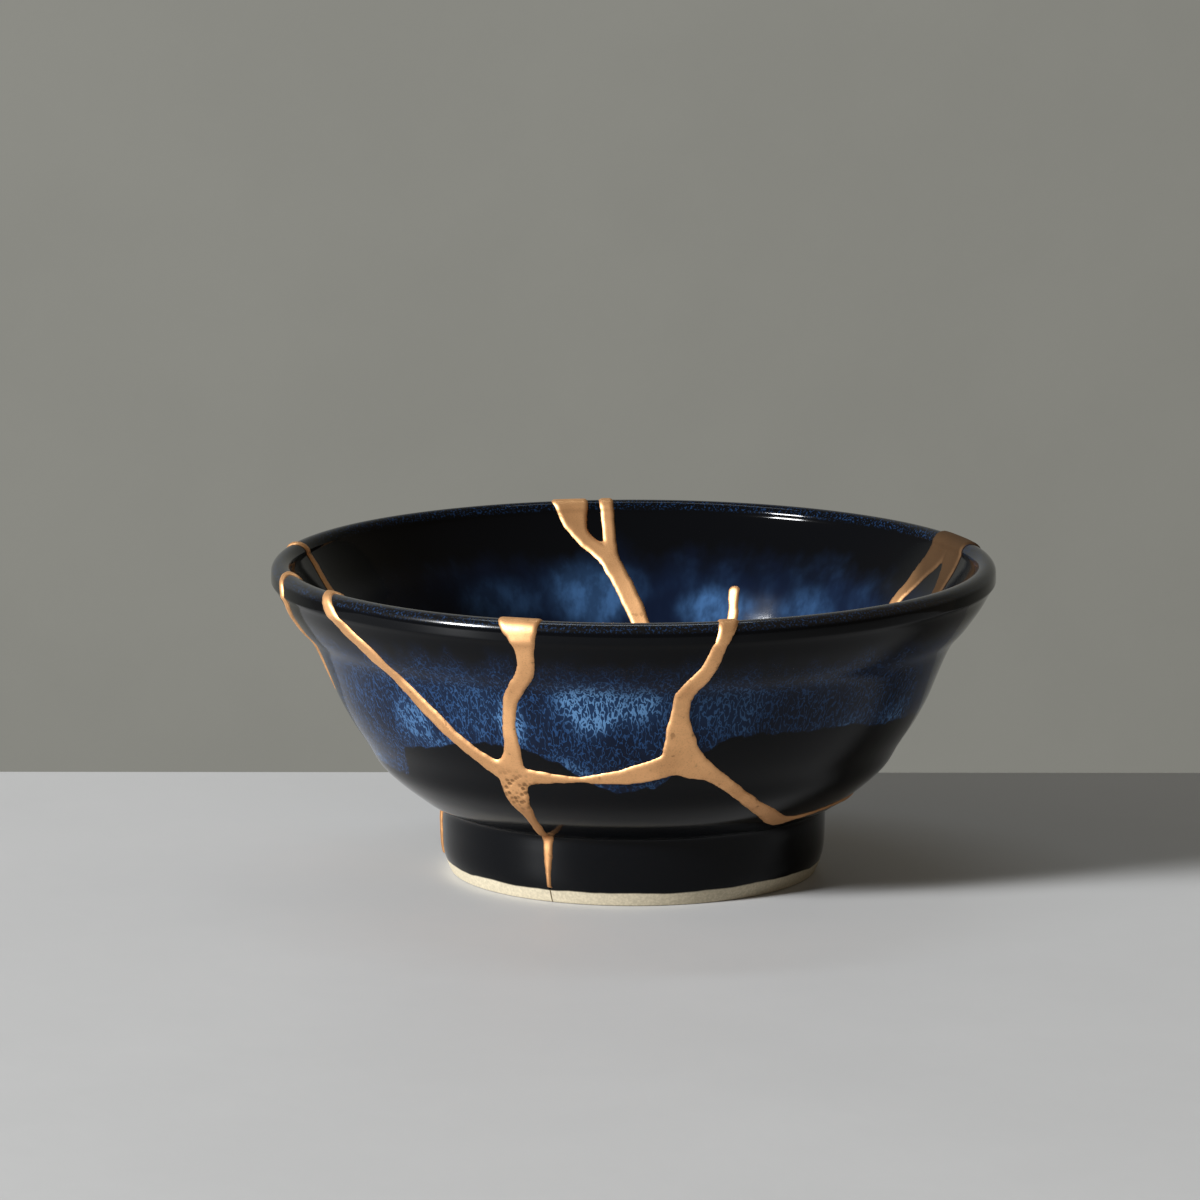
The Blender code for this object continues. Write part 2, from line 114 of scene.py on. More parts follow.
# Cracks in the wall: (angle in degrees, share of the way down from lip to foot joint, half width in mm)
WALL_CRACKS = {
    "front_left": (
        (212.5, 0.0, 1.3), (215.4, 0.069, 1.7), (218.7, 0.145, 1.9), (221.3, 0.205, 2.1),
        (224.2, 0.312, 1.7), (230.2, 0.434, 1.8), (238.6, 0.573, 1.8), (244.7, 0.633, 2.8),
        (250.9, 0.636, 1.8), (258.4, 0.636, 0.9), (266.0, 0.626, 1.8), (273.6, 0.595, 2.8),
        (279.8, 0.55, 2.4),
    ),
    "front": (
        (252.1, 0.0, 4.4), (252.8, 0.06, 3.1), (252.9, 0.13, 2.0), (252.0, 0.221, 1.9),
        (248.3, 0.332, 1.7), (246.8, 0.423, 1.5), (246.3, 0.535, 1.9), (244.7, 0.636, 3.0),
        (244.3, 0.737, 2.5), (244.9, 0.828, 1.3), (244.4, 0.949, 1.1), (244.3, 1.0, 1.1),
    ),
    "front_right": (
        (285.0, 0.0, 2.1), (283.7, 0.07, 1.5), (281.9, 0.199, 1.8), (279.2, 0.292, 2.1),
        (278.3, 0.369, 1.8), (278.6, 0.464, 2.9), (279.8, 0.55, 3.8), (286.3, 0.623, 1.9),
        (293.7, 0.717, 1.4), (303.0, 0.828, 1.9), (310.0, 0.899, 1.9), (316.5, 0.904, 0.8),
        (337.0, 0.884, 0.5), (355.0, 0.899, 0.6), (379.0, 0.909, 0.8), (400.5, 0.929, 0.9),
    ),
    "left": (
        (194.0, 0.0, 1.1), (197.0, 0.08, 1.1), (190.5, 0.22, 1.1), (181.5, 0.474, 1.2),
        (174.0, 0.616, 1.5), (178.0, 0.747, 1.3), (183.0, 0.899, 1.2), (184.0, 1.0, 1.2),
    ),
    "back_left": (
        (166.0, 0.0, 1.1), (164.5, 0.09, 1.1), (165.2, 0.2, 1.2), (168.0, 0.49, 1.2),
        (174.0, 0.616, 1.3),
    ),
    "back": (
        (101.0, 0.0, 4.0), (100.7, 0.07, 3.1), (99.6, 0.147, 1.9), (95.4, 0.235, 2.1),
        (92.2, 0.345, 2.1), (84.0, 0.675, 1.8), (80.8, 0.858, 1.6), (80.0, 1.0, 1.5),
    ),
    "back_fork": (
        (94.8, 0.0, 1.5), (94.5, 0.12, 1.5), (94.1, 0.29, 1.4),
    ),
    "back_right": (
        (69.0, 0.36, 1.2), (68.6, 0.47, 1.2), (73.0, 0.675, 1.3), (81.0, 0.868, 1.3),
    ),
    "right_fork": (
        (23.2, 0.0, 4.1), (23.3, 0.09, 3.9), (25.0, 0.17, 2.8), (26.1, 0.26, 2.1),
        (28.5, 0.42, 1.6), (35.0, 0.72, 1.3), (40.5, 0.919, 1.2), (41.0, 1.0, 1.2),
    ),
    "right": (
        (17.6, 0.0, 4.2), (16.5, 0.09, 3.8), (14.8, 0.17, 2.6), (13.8, 0.25, 1.6),
        (14.5, 0.47, 1.3), (16.8, 0.717, 1.2), (19.0, 0.909, 1.0),
    ),
}
# Cracks in the floor: (angle in degrees, share of the foot's radius, half width in mm)
FLOOR_CRACKS = {
    "floor_across": (
        (244.3, 1.0, 1.3), (244.3, 0.75, 1.2), (241.0, 0.50, 1.2), (150.0, 0.20, 1.4),
        (85.0, 0.12, 1.3), (42.0, 0.28, 1.4), (75.0, 0.50, 1.3), (80.0, 0.75, 1.3),
        (80.0, 1.0, 1.3),
    ),
    "floor_left": ((184.0, 1.0, 1.4), (184.0, 0.75, 1.3), (179.0, 0.50, 1.2), (150.0, 0.20, 1.2)),
    "floor_right": ((42.0, 0.28, 1.2), (38.0, 0.50, 1.2), (41.0, 0.75, 1.1), (41.0, 1.0, 1.1)),
}
# Each fragment, by a place on its wall: (angle in degrees, share of the way down)
FRAGMENTS = {
    "sherd_front_left": (216.0, 0.50),
    "sherd_front_wedge": (236.0, 0.20),
    "sherd_front_middle": (267.0, 0.30),
    "sherd_right": (330.0, 0.40),
    "sherd_front_foot": (270.0, 0.85),
    "sherd_right_splinter": (23.5, 0.55),
    "sherd_back_right": (50.0, 0.30),
    "sherd_back_splinter": (96.9, 0.10),
    "sherd_back_left": (130.0, 0.40),
    "sherd_left_wedge": (180.0, 0.20),
}
# The lower edge of the blue band outside: (angle in degrees, height in mm)
LOWER_EDGE = (
    (0, 34.5), (45, 37.0), (80, 32.0), (120, 36.0), (160, 29.0), (195, 25.0), (212, 24.5),
    (217, 31.0), (229, 33.5), (240, 36.5), (250, 35.0), (256, 32.0), (262, 28.0), (267, 26.6),
    (275, 27.2), (281, 33.5), (289, 38.6), (303, 38.4), (321, 36.8), (344, 34.6), (360, 34.5),
)
# Bright patches in the blue band: (angle in degrees, height in mm, half of its spread in degrees,
# half of its height in mm, strength)
BRIGHT_PATCHES = (
    (265.0, 45.5, 12.0, 7.0, 1.0), (247.5, 41.0, 3.5, 6.0, 0.85), (238.5, 46.0, 7.0, 9.0, 0.35),
    (224.0, 39.0, 6.0, 6.0, 0.6), (287.0, 45.0, 9.0, 7.0, 0.45), (330.0, 39.0, 8.0, 3.0, 0.35),
    (20.0, 43.0, 13.0, 7.0, 0.6), (75.0, 41.0, 16.0, 8.0, 0.8), (125.0, 44.0, 12.0, 7.0, 0.6),
    (170.0, 38.0, 11.0, 8.0, 0.6),
)
# The blue clouds inside the bowl, in the same terms
INNER_CLOUDS = (
    (99.0, 46.0, 11.0, 8.0, 1.0), (72.0, 43.0, 10.0, 5.0, 0.9), (120.0, 45.0, 10.0, 6.0, 0.45),
    (50.0, 44.0, 9.0, 6.0, 0.4), (160.0, 41.0, 22.0, 9.0, 0.6), (15.0, 42.0, 18.0, 8.0, 0.6),
    (225.0, 42.0, 25.0, 9.0, 0.6), (300.0, 44.0, 28.0, 8.0, 0.6),
)
# The porous patch of gold where the front seams cross: angle in degrees, share of the way down, reach in mm
POROUS_PATCH = (244.9, 0.70, 6.5)


def length(name, description, default, low=0.0):
    kind = {"unit": "LENGTH", "precision": 5}
    return FloatProperty(name=name, description=description, default=default, min=low, **kind)


def colour(name, description, default):
    kind = {"subtype": "COLOR", "size": 3, "min": 0.0, "max": 1.0}
    return FloatVectorProperty(name=name, description=description, default=default, **kind)


def angle_in_view(name, description, default):
    return FloatProperty(name=name, description=description, default=default, subtype="ANGLE")


class BowlSizes(bpy.types.PropertyGroup):
    rim_radius: length("Rim Radius", "Radius of the rim", 0.0732)
    height: length("Height", "Height of the lip over the table", 0.0636)
    lip: length("Lip Thickness", "Thickness of the round lip", 0.0044)
    wall: length("Wall", "Thickness of the wall under the lip", 0.0046)
    wall_at_foot: length("Wall at Foot", "Thickness of the wall at the foot", 0.0062)
    foot_radius: length("Foot Radius", "Radius of the foot where it meets the wall", 0.0392)
    foot_height: length("Foot Height", "Height of the joint of foot and wall", 0.0137)
    foot_taper: length("Foot Taper", "How much narrower the foot stands on the table", 0.002)
    foot_ring: length("Foot Ring", "Width of the ring that the bowl stands on", 0.0065)
    recess: length("Recess", "Depth of the hollow under the floor", 0.0082)
    floor: length("Floor", "Thickness of the floor", 0.007)
    bare_band: length("Bare Band", "Height that the gold stays over the table", 0.0032)
    row_step: length("Row Step", "Largest distance between two rows of points", 0.0012, 0.0002)
    ripple: length("Ripple", "Depth of the throwing ripples", 0.00005)
    ripple_size: length("Ripple Size", "Distance between throwing ripples", 0.011, 0.001)
    columns: IntProperty(name="Columns", description="Points round the bowl", default=320, min=24)
    seed: IntProperty(name="Seed", description="Seed of the ripples", default=4)


class GoldSizes(bpy.types.PropertyGroup):
    crown: length("Crown", "Height of a seam over the glaze", 0.00036)
    dip: length("Edge Dip", "How far a seam's edge dips under the glaze", 0.00012)
    root: length("Root", "Depth of a seam under the glaze", 0.0005)
    shoulder: length("Shoulder", "Width over which the edge rises to the crown", 0.0009, 0.0001)
    fillet: length("Fillet", "Reach of the soft corners where seams meet", 0.0011, 0.0001)
    wobble: length("Wobble", "Unevenness of the edges", 0.00022)
    step: length("Step", "Size of a cell of the gold's mesh", 0.00046, 0.0002)
    grain: length("Grain", "Height of the lumps in the gold", 0.00007)
    pits: length("Pits", "Depth of the pits in the porous patch", 0.00026)
    seed: IntProperty(name="Seed", description="Seed of the grain", default=7)


class FinishColours(bpy.types.PropertyGroup):
    glaze: colour("Glaze", "The near-black glaze", (0.0018, 0.0021, 0.0028))
    navy: colour("Navy", "The ground of the blue band", (0.0032, 0.0065, 0.018))
    blue: colour("Blue", "The strands of the blue band", (0.013, 0.042, 0.115))
    pale: colour("Pale Blue", "The brightest strands", (0.085, 0.19, 0.36))
    mist: colour("Mist", "The clouds inside the bowl", (0.034, 0.088, 0.20))
    clay: colour("Clay", "The bare clay of the foot", (0.55, 0.485, 0.355))
    gold: colour("Gold", "The gold on the seams", (0.93, 0.535, 0.255))
    worn_gold: colour("Worn Gold", "The gold where it is rubbed", (0.58, 0.305, 0.135))
    # Painted shade: a dark brown that stands for the shade on the gold of the right fork inside the rim
    painted_fork_shade: colour("Painted Fork Shade", "The brown gold of the right fork", (0.065, 0.037, 0.020))
    pit: colour("Pits", "The bottom of the pits in the gold", (0.10, 0.055, 0.025))
    table: colour("Table", "The pale table", (0.50, 0.50, 0.50))
    backdrop: colour("Backdrop", "The grey wall behind", (0.262, 0.262, 0.236))


class StageSizes(bpy.types.PropertyGroup):
    camera_distance: length("Camera Distance", "Distance of the camera in front of the bowl", 1.5)
    camera_height: length("Camera Height", "Height of the camera over the table", 0.3304)
    tilt: angle_in_view("Tilt", "How far the camera looks down", 0.18153)
    turn: angle_in_view("Turn", "How far the camera turns to the right", -0.00451)
    lens: FloatProperty(name="Lens", description="Focal length in millimetres", default=226.27, min=1.0)
    table_back: length("Table Back", "Distance of the table's far edge behind the bowl", 0.0955)


class Signal:
    """A node's output, used in sums as a number."""

    def __init__(self, maker, socket):
        self.maker = maker
        self.socket = socket

    def math(self, operation, *others):
        values = dict(enumerate((self, *others)))
        return self.maker.make("ShaderNodeMath", {"operation": operation}, values).out(0)

    def __add__(self, other):
        return self.math("ADD", other)

    __radd__ = __add__

    def __sub__(self, other):
        return self.math("SUBTRACT", other)

    def __rsub__(self, other):
        return self.maker.make("ShaderNodeMath", {"operation": "SUBTRACT"}, {0: other, 1: self}).out(0)

    def __mul__(self, other):
        return self.math("MULTIPLY", other)

    __rmul__ = __mul__

    def __truediv__(self, other):
        return self.math("DIVIDE", other)

    def __rtruediv__(self, other):
        return self.maker.make("ShaderNodeMath", {"operation": "DIVIDE"}, {0: other, 1: self}).out(0)

    def clamp(self):
        return self.maker.make("ShaderNodeClamp", {}, {"Value": self}).out(0)

    def between(self, start, end):
        """0 before start, 1 after end, and smooth between them. Start may be the larger."""
        settings = {"interpolation_type": "SMOOTHSTEP"}
        sockets = {"Value": self, "From Min": start, "From Max": end}
        return self.maker.make("ShaderNodeMapRange", settings, sockets).out(0)


class Made:
    """A node that has been made."""

    def __init__(self, maker, node):
        self.maker = maker
        self.node = node

    def out(self, key=0):
        return Signal(self.maker, self.node.outputs[key])


class NodeMaker:
    """Makes the nodes of one tree."""

    def __init__(self, tree):
        self.tree = tree

    def make(self, kind, settings=None, sockets=None):
        node = self.tree.nodes.new(kind)
        for name, value in (settings or {}).items():
            if name == "stops":
                ramp = node.color_ramp
                while len(ramp.elements) < len(value):
                    ramp.elements.new(0.5)
                for element, (position, shade) in zip(ramp.elements, value):
                    element.position = position
                    element.color = shade
            else:
                setattr(node, name, value)
        for key, value in (sockets or {}).items():
            socket = node.inputs[key]
            if isinstance(value, Signal):
                self.tree.links.new(value.socket, socket)
            else:
                socket.default_value = value
        return Made(self, node)

    def mix(self, share, first, second):
        """A colour this share of the way from the first to the second."""
        settings = {"data_type": "RGBA"}
        return self.make("ShaderNodeMix", settings, {0: share, 6: shade(first), 7: shade(second)}).out(2)

    def noise(self, place, scale, detail=2.0, roughness=0.5, distortion=0.0):
        sockets = {
            "Vector": place,
            "Scale": scale,
            "Detail": detail,
            "Roughness": roughness,
            "Distortion": distortion,
        }
        return self.make("ShaderNodeTexNoise", {}, sockets).out(0)

    def stretched(self, place, scale):
        """The place with its three directions scaled."""
        return self.make("ShaderNodeVectorMath", {"operation": "MULTIPLY"}, {0: place, 1: scale}).out(0)


def shade(value):
    """Three numbers as an opaque colour, and a signal as it is."""
    return value if isinstance(value, Signal) else (*value, 1.0)


def darkened(tint, share):
    """A colour with this share of its light taken away."""
    return tuple(part * (1.0 - share) for part in tint)


def catmull_rom(points, step):
    """A smooth line through the points about this far apart, and the length along it at each point given."""
    points = np.asarray(points, float)
    ends = np.vstack([2 * points[0] - points[1], points, 2 * points[-1] - points[-2]])
    line = []
    starts = []
    for a, b, c, d in zip(ends, ends[1:], ends[2:], ends[3:]):
        gaps = [max(math.sqrt(np.linalg.norm(q - p)), 1e-6) for p, q in ((a, b), (b, c), (c, d))]
        slope_b = (b - a) / gaps[0] - (c - a) / (gaps[0] + gaps[1]) + (c - b) / gaps[1]
        slope_c = (c - b) / gaps[1] - (d - b) / (gaps[1] + gaps[2]) + (d - c) / gaps[2]
        starts.append(len(line))
        count = max(1, math.ceil(np.linalg.norm(c - b) / step))
        for t in np.arange(count) / count:
            s = 1 - t
            bend = gaps[1] * t * s * (slope_b * s - slope_c * t)
            line.append(b * (1 + 2 * t) * s * s + c * t * t * (3 - 2 * t) + bend)
    starts.append(len(line))
    line.append(points[-1])
    line = np.array(line)
    marks = np.concatenate([[0.0], np.cumsum(np.linalg.norm(np.diff(line, axis=0), axis=1))])
    return line, marks, marks[starts]


class Profile:
    """The bowl's outline: from the middle of its recess round the foot, up, over the lip and to the floor."""

    def __init__(self, bowl):
        reach = bowl.rim_radius - bowl.foot_radius
        rise = bowl.height - bowl.lip / 2 - bowl.foot_height
        outer = [(bowl.foot_radius + reach * out, bowl.foot_height + rise * up) for out, up in OUTER_SHAPE]
        inner = self.inner_wall(bowl, outer)
        foot = self.foot_outline(bowl)
        radius = bowl.lip / 2
        lip = []
        for degrees in range(15, 181, 15):
            turn = math.radians(degrees)
            out, up = radius * (math.cos(turn) - 1), radius * (math.sin(turn) - 1)
            lip.append((bowl.rim_radius + out, bowl.height + up))
        edge_radius, edge_height = inner[-1]
        middle = bowl.recess + bowl.floor
        floor = [(edge_radius * out, middle + (edge_height - middle) * up) for out, up in FLOOR_SHAPE]
        line, marks, at = catmull_rom([*foot, *reversed(outer), *lip, *inner, *floor], 0.1 * MM)
        self.marks = marks
        self.radii = np.clip(line[:, 0], 0.0, bowl.rim_radius)
        self.heights = np.clip(line[:, 1], 0.0, bowl.height)
        self.joint = at[len(foot)]
        self.lip_top = marks[np.argmax(self.heights)]
        self.inner_end = at[len(foot) + len(outer) + len(lip) + len(inner) - 1]
        slope = np.gradient(line, marks, axis=0)
        slope /= np.linalg.norm(slope, axis=1)[:, None]
        self.out_radial = slope[:, 1]
        self.out_up = -slope[:, 0]
        self.end = marks[-1]

    @staticmethod
    def inner_wall(bowl, outer):
        """The outside moved in by the wall's thickness, which grows towards the foot."""
        last = len(outer) - 1
        points = []
        for index in range(FIRST_BELOW_LIP_BEAD, last + 1):
            above = outer[max(index - 2, 0)]
            below = outer[min(index + 2, last)]
            slope = math.atan2(above[1] - below[1], above[0] - below[0])
            depth = (index - FIRST_BELOW_LIP_BEAD) / (last - FIRST_BELOW_LIP_BEAD)
            thickness = bowl.wall + (bowl.wall_at_foot - bowl.wall) * depth**2
            radius, height = outer[index]
            points.append((radius - thickness * math.sin(slope), height + thickness * math.cos(slope)))
        return points

    @staticmethod
    def foot_outline(bowl):
        """The recess and the foot ring with its rubbed corners, up to just under the joint."""
        ground = bowl.foot_radius - bowl.foot_taper
        inside = ground - bowl.foot_ring
        soft = 0.6 * MM
        roof = bowl.recess
        corner = inside - 0.5 * bowl.foot_taper
        return [
            (0.0, roof),
            (0.5 * corner, roof),
            (0.90 * corner, roof),
            (0.95 * corner, 0.95 * roof),
            (0.98 * corner, 0.86 * roof),
            (corner + 0.2 * bowl.foot_taper, 0.62 * roof),
            (inside - 0.1 * soft, 1.5 * soft),
            (inside + 0.25 * soft, 0.3 * soft),
            (inside + soft, 0.0),
            ((inside + ground) / 2, 0.0),
            (ground - soft, 0.0),
            (ground - 0.2 * soft, 0.25 * soft),
            (ground + 0.15 * soft, soft),
            (bowl.foot_radius - 0.3 * bowl.foot_taper, 1.3 * bowl.bare_band),
            (bowl.foot_radius - 0.1 * bowl.foot_taper, 0.75 * bowl.foot_height),
        ]

    def place(self, mark):
        """Radius and height, and the outward direction's two parts, at this length along the outline."""
        columns = (self.radii, self.heights, self.out_radial, self.out_up)
        return [np.interp(mark, self.marks, column) for column in columns]

    def point(self, angle, mark, lift=0.0):
        radius, height, radial, up = self.place(mark)
        across = radius + radial * lift
        level = height + up * lift + 0.0 * angle
        return np.stack([across * np.cos(angle), across * np.sin(angle), level], -1)

    def outer_mark(self, share):
        return self.lip_top - share * (self.lip_top - self.joint)

    def inner_mark(self, share):
        return self.lip_top + share * (self.inner_end - self.lip_top)

    def mark_at(self, start, end, column, value):
        """The first length between start and end where this column of the outline reaches the value."""
        inside = (self.marks >= start) & (self.marks <= end)
        marks = self.marks[inside]
        gap = np.abs(column[inside] - value)
        return marks[np.argmin(gap)]

    def rows(self, step, turn):
        """Lengths along the outline that are at most a step apart and turn at most this much."""
        heading = np.unwrap(np.arctan2(self.out_radial, self.out_up))
        kept = [0]
        for index in range(1, len(self.marks)):
            far = self.marks[index] - self.marks[kept[-1]] >= step
            if far or abs(heading[index] - heading[kept[-1]]) >= turn:
                kept.append(index)
        if self.end - self.marks[kept[-1]] < 0.4 * step:
            kept.pop()
        kept.append(len(self.marks) - 1)
        return self.marks[kept]


def crack_line(controls, step=1.0 * MM):
    """A crack in the wall as a smooth line: angles, shares of the way down, and half widths."""
    angles, shares, halves = np.array(controls, float).T
    girth = 60.0 * MM
    flat = np.stack([np.radians(angles) * girth, shares * girth, halves * MM], 1)
    line = catmull_rom(flat, step)[0]
    return line[:, 0] / girth, line[:, 1] / girth, np.maximum(line[:, 2], 0.3 * MM)


def floor_line(controls, bowl, step=1.0 * MM):
    """A crack in the floor as a smooth line: x, y and half width."""
    points = []
    for degrees, share, half in controls:
        turn = math.radians(degrees)
        radius = bowl.foot_radius * share
        points.append((radius * math.cos(turn), radius * math.sin(turn), half * MM))
    return catmull_rom(points, step)[0]


def new_object(name, points, faces, collection=None):
    mesh = bpy.data.meshes.new(name)
    mesh.from_pydata([tuple(point) for point in points], [], faces)
    mesh.validate()
    obj = bpy.data.objects.new(name, mesh)
    (collection or bpy.context.scene.collection).objects.link(obj)
    return obj


def tube(name, rings, collection):
    """A closed tube of four-cornered rings."""
    points = [corner for ring in rings for corner in ring]
    faces = [(3, 2, 1, 0)]
    for start in range(0, len(points) - 4, 4):
        for side in range(4):
            after = (side + 1) % 4
            faces.append((start + side, start + after, start + 4 + after))
            faces.append((start + side, start + 4 + after, start + 4 + side))
    last = len(points) - 4
    faces.append((last, last + 1, last + 2, last + 3))
    return new_object(name, points, faces, collection)


def wall_cut(name, controls, profile, collection):
    """A thin sheet along a crack in the wall, which parts the fragments."""
    angles, shares, _ = crack_line(controls)
    from_rim = shares[0] == 0.0
    if from_rim:
        kept = shares > FIRST_CUT_SHARE
        angles = np.concatenate([[angles[0]], angles[kept]])
        shares = np.concatenate([[FIRST_CUT_SHARE], shares[kept]])
    outside = profile.point(angles, profile.outer_mark(shares))
    inside = profile.point(angles, profile.inner_mark(shares))
    middle = (outside + inside) / 2
    through = outside - inside
    through /= np.linalg.norm(through, axis=1)[:, None]
    along = np.gradient(middle, axis=0)
    along /= np.linalg.norm(along, axis=1)[:, None]
    side = np.cross(along, through)
    side *= CUT_HALF / np.linalg.norm(side, axis=1)[:, None]
    over = through * CUT_REACH
    outside = outside + over
    inside = inside - over
    for points in (outside, inside):
        if not from_rim:
            points[0] -= along[0] * OVERRUN
        points[-1] += along[-1] * OVERRUN
    rings = [[o - s, o + s, i + s, i - s] for o, i, s in zip(outside, inside, side)]
    if from_rim:
        rings.insert(0, [corner + np.array([0.0, 0.0, 2 * CUT_REACH]) for corner in rings[0]])
    return tube(name, rings, collection)


def floor_cut(name, controls, profile, bowl, collection):
    """A thin upright sheet along a crack in the floor and through the foot ring."""
    line = floor_line(controls, bowl)
    centre = line[:, :2]
    radius = np.linalg.norm(centre, axis=1)
    along = np.gradient(centre, axis=0)
    along /= np.linalg.norm(along, axis=1)[:, None]
    for end, sign in ((0, -1.0), (-1, 1.0)):
        through_foot = radius[end] > FOOT_REACHED_SHARE * bowl.foot_radius
        centre[end] += sign * along[end] * (FOOT_OVERRUN if through_foot else OVERRUN)
    marks = np.linspace(profile.lip_top, profile.end, 400)
    radii, heights, _, _ = profile.place(marks)
    top = np.interp(radius, radii[::-1], heights[::-1]) + CUT_REACH
    rings = []
    for (x, y), (dx, dy), high in zip(centre, along, top):
        sx, sy = -dy * FOOT_CUT_HALF, dx * FOOT_CUT_HALF
        corners = ((-1, high), (1, high), (1, -CUT_REACH), (-1, -CUT_REACH))
        rings.append([np.array((x + sign * sx, y + sign * sy, level)) for sign, level in corners])
    return tube(name, rings, collection)


def geometry_tree(name, sockets):
    """An empty geometry tree with these inputs besides the geometry, and the maker of its nodes."""
    tree = bpy.data.node_groups.new(name, "GeometryNodeTree")
    tree.interface.new_socket("Geometry", in_out="INPUT", socket_type="NodeSocketGeometry")
    for label, kind in sockets:
        tree.interface.new_socket(label, in_out="INPUT", socket_type=kind)
    tree.interface.new_socket("Geometry", in_out="OUTPUT", socket_type="NodeSocketGeometry")
    maker = NodeMaker(tree)
    return tree, maker, maker.make("NodeGroupInput")


def close_tree(maker, geometry, given):
    """Ends a tree in real geometry with its material, shaded smooth."""
    smooth = maker.make("GeometryNodeSetShadeSmooth", {}, {"Geometry": geometry}).out(0)
    real = maker.make("GeometryNodeRealizeInstances", {}, {"Geometry": smooth}).out(0)
    sockets = {"Geometry": real, "Material": given.out("Material")}
    maker.make("NodeGroupOutput", {}, {0: maker.make("GeometryNodeSetMaterial", {}, sockets).out(0)})


def evaluated_mesh(obj):
    """The mesh that an object's modifiers make."""
    bpy.context.view_layer.update()
    graph = bpy.context.evaluated_depsgraph_get()
    return bpy.data.meshes.new_from_object(obj.evaluated_get(graph))


def vertex_places(mesh):
    places = np.empty(len(mesh.vertices) * 3)
    mesh.vertices.foreach_get("co", places)
    return places.reshape(-1, 3)


def run_tree(obj, tree, values):
    """The mesh that the tree makes of the object, with its inputs set by their identifiers."""
    modifier = obj.modifiers.new(tree.name, "NODES")
    modifier.node_group = tree
    for item in tree.interface.items_tree:
        if item.in_out == "INPUT" and item.name in values:
            modifier[item.identifier] = values[item.name]
    mesh = evaluated_mesh(obj)
    obj.modifiers.remove(modifier)
    return mesh


def turned_pot_tree():
    """Turns an outline of points about Z, with the soft ripples of throwing."""
    tree, maker, given = geometry_tree(
        "turned_pot",
        (
            ("Columns", "NodeSocketInt"),
            ("Ripple", "NodeSocketFloat"),
            ("Ripple Size", "NodeSocketFloat"),
            ("Seed", "NodeSocketInt"),
            ("Material", "NodeSocketMaterial"),
        ),
    )
    outline = given.out("Geometry")
    rows = maker.make("GeometryNodeAttributeDomainSize", {"component": "MESH"}, {0: outline}).out(0)
    columns = given.out("Columns")
    sheet = maker.make("GeometryNodeMeshGrid", {}, {"Vertices X": columns + 1.0, "Vertices Y": rows}).out(0)
    index = maker.make("GeometryNodeInputIndex").out(0)
    column = (index / rows).math("FLOOR")
    row = index - column * rows
    place = maker.make("GeometryNodeInputPosition").out(0)
    sampled = maker.make(
        "GeometryNodeSampleIndex",
        {"data_type": "FLOAT_VECTOR", "domain": "POINT"},
        {"Geometry": outline, "Value": place, "Index": row},
    ).out(0)
    parts = maker.make("ShaderNodeSeparateXYZ", {}, {0: sampled})
    angle = column / columns * math.tau
    turned = maker.make(
        "ShaderNodeCombineXYZ",
        {},
        {0: parts.out(0) * angle.math("COSINE"), 1: parts.out(0) * angle.math("SINE"), 2: parts.out(2)},
    ).out(0)
    pot = maker.make("GeometryNodeSetPosition", {}, {"Geometry": sheet, "Position": turned}).out(0)
    pot = maker.make("GeometryNodeMergeByDistance", {}, {"Geometry": pot, "Distance": 0.01 * MM}).out(0)
    upright = maker.stretched(place, (0.35, 0.35, 1.0))
    lumps = maker.make(
        "ShaderNodeTexNoise",
        {"noise_dimensions": "4D"},
        {"Vector": upright, "W": given.out("Seed"), "Scale": 1.0 / given.out("Ripple Size"), "Detail": 1.0},
    ).out(0)
    above = maker.make("ShaderNodeSeparateXYZ", {}, {0: place}).out(2).between(1.0 * MM, 6.0 * MM)
    swell = (lumps - 1.0) * given.out("Ripple") * above
    outward = maker.make("GeometryNodeInputNormal").out(0)
    offset = maker.make("ShaderNodeVectorMath", {"operation": "SCALE"}, {0: outward, 3: swell}).out(0)
    pot = maker.make("GeometryNodeSetPosition", {}, {"Geometry": pot, "Offset": offset}).out(0)
    close_tree(maker, pot, given)
    return tree


def lacquer_grain_tree():
    """Lumps all over the gold, and pits where its porous attribute is set."""
    tree, maker, given = geometry_tree(
        "lacquer_grain",
        (
            ("Grain", "NodeSocketFloat"),
            ("Pits", "NodeSocketFloat"),
            ("Seed", "NodeSocketInt"),
            ("Material", "NodeSocketMaterial"),
        ),
    )
    place = maker.make("GeometryNodeInputPosition").out(0)
    lumps = maker.make(
        "ShaderNodeTexNoise",
        {"noise_dimensions": "4D"},
        {"Vector": place, "W": given.out("Seed"), "Scale": 420.0, "Detail": 2.0},
    ).out(0)
    holes = maker.make("ShaderNodeTexVoronoi", {}, {"Vector": place, "Scale": PIT_SCALE}).out("Distance")
    named = "GeometryNodeInputNamedAttribute"
    raised = maker.make(named, {"data_type": "FLOAT"}, {"Name": "raised"}).out("Attribute")
    porous = maker.make(named, {"data_type": "FLOAT"}, {"Name": "porous"}).out("Attribute")
    dents = (1.0 - holes.between(0.15, 0.6)) * porous * given.out("Pits")
    swell = ((lumps - 0.5) * given.out("Grain") - dents) * raised
    outward = maker.make(named, {"data_type": "FLOAT_VECTOR"}, {"Name": "outward"}).out("Attribute")
    offset = maker.make("ShaderNodeVectorMath", {"operation": "SCALE"}, {0: outward, 3: swell}).out(0)
    sockets = {"Geometry": given.out("Geometry"), "Offset": offset}
    close_tree(maker, maker.make("GeometryNodeSetPosition", {}, sockets).out(0), given)
    return tree


def empty_material(name):
    material = bpy.data.materials.new(name)
    material.use_nodes = True
    material.node_tree.nodes.clear()
    maker = NodeMaker(material.node_tree)
    place = maker.make("ShaderNodeTexCoord").out("Object")
    return material, maker, place


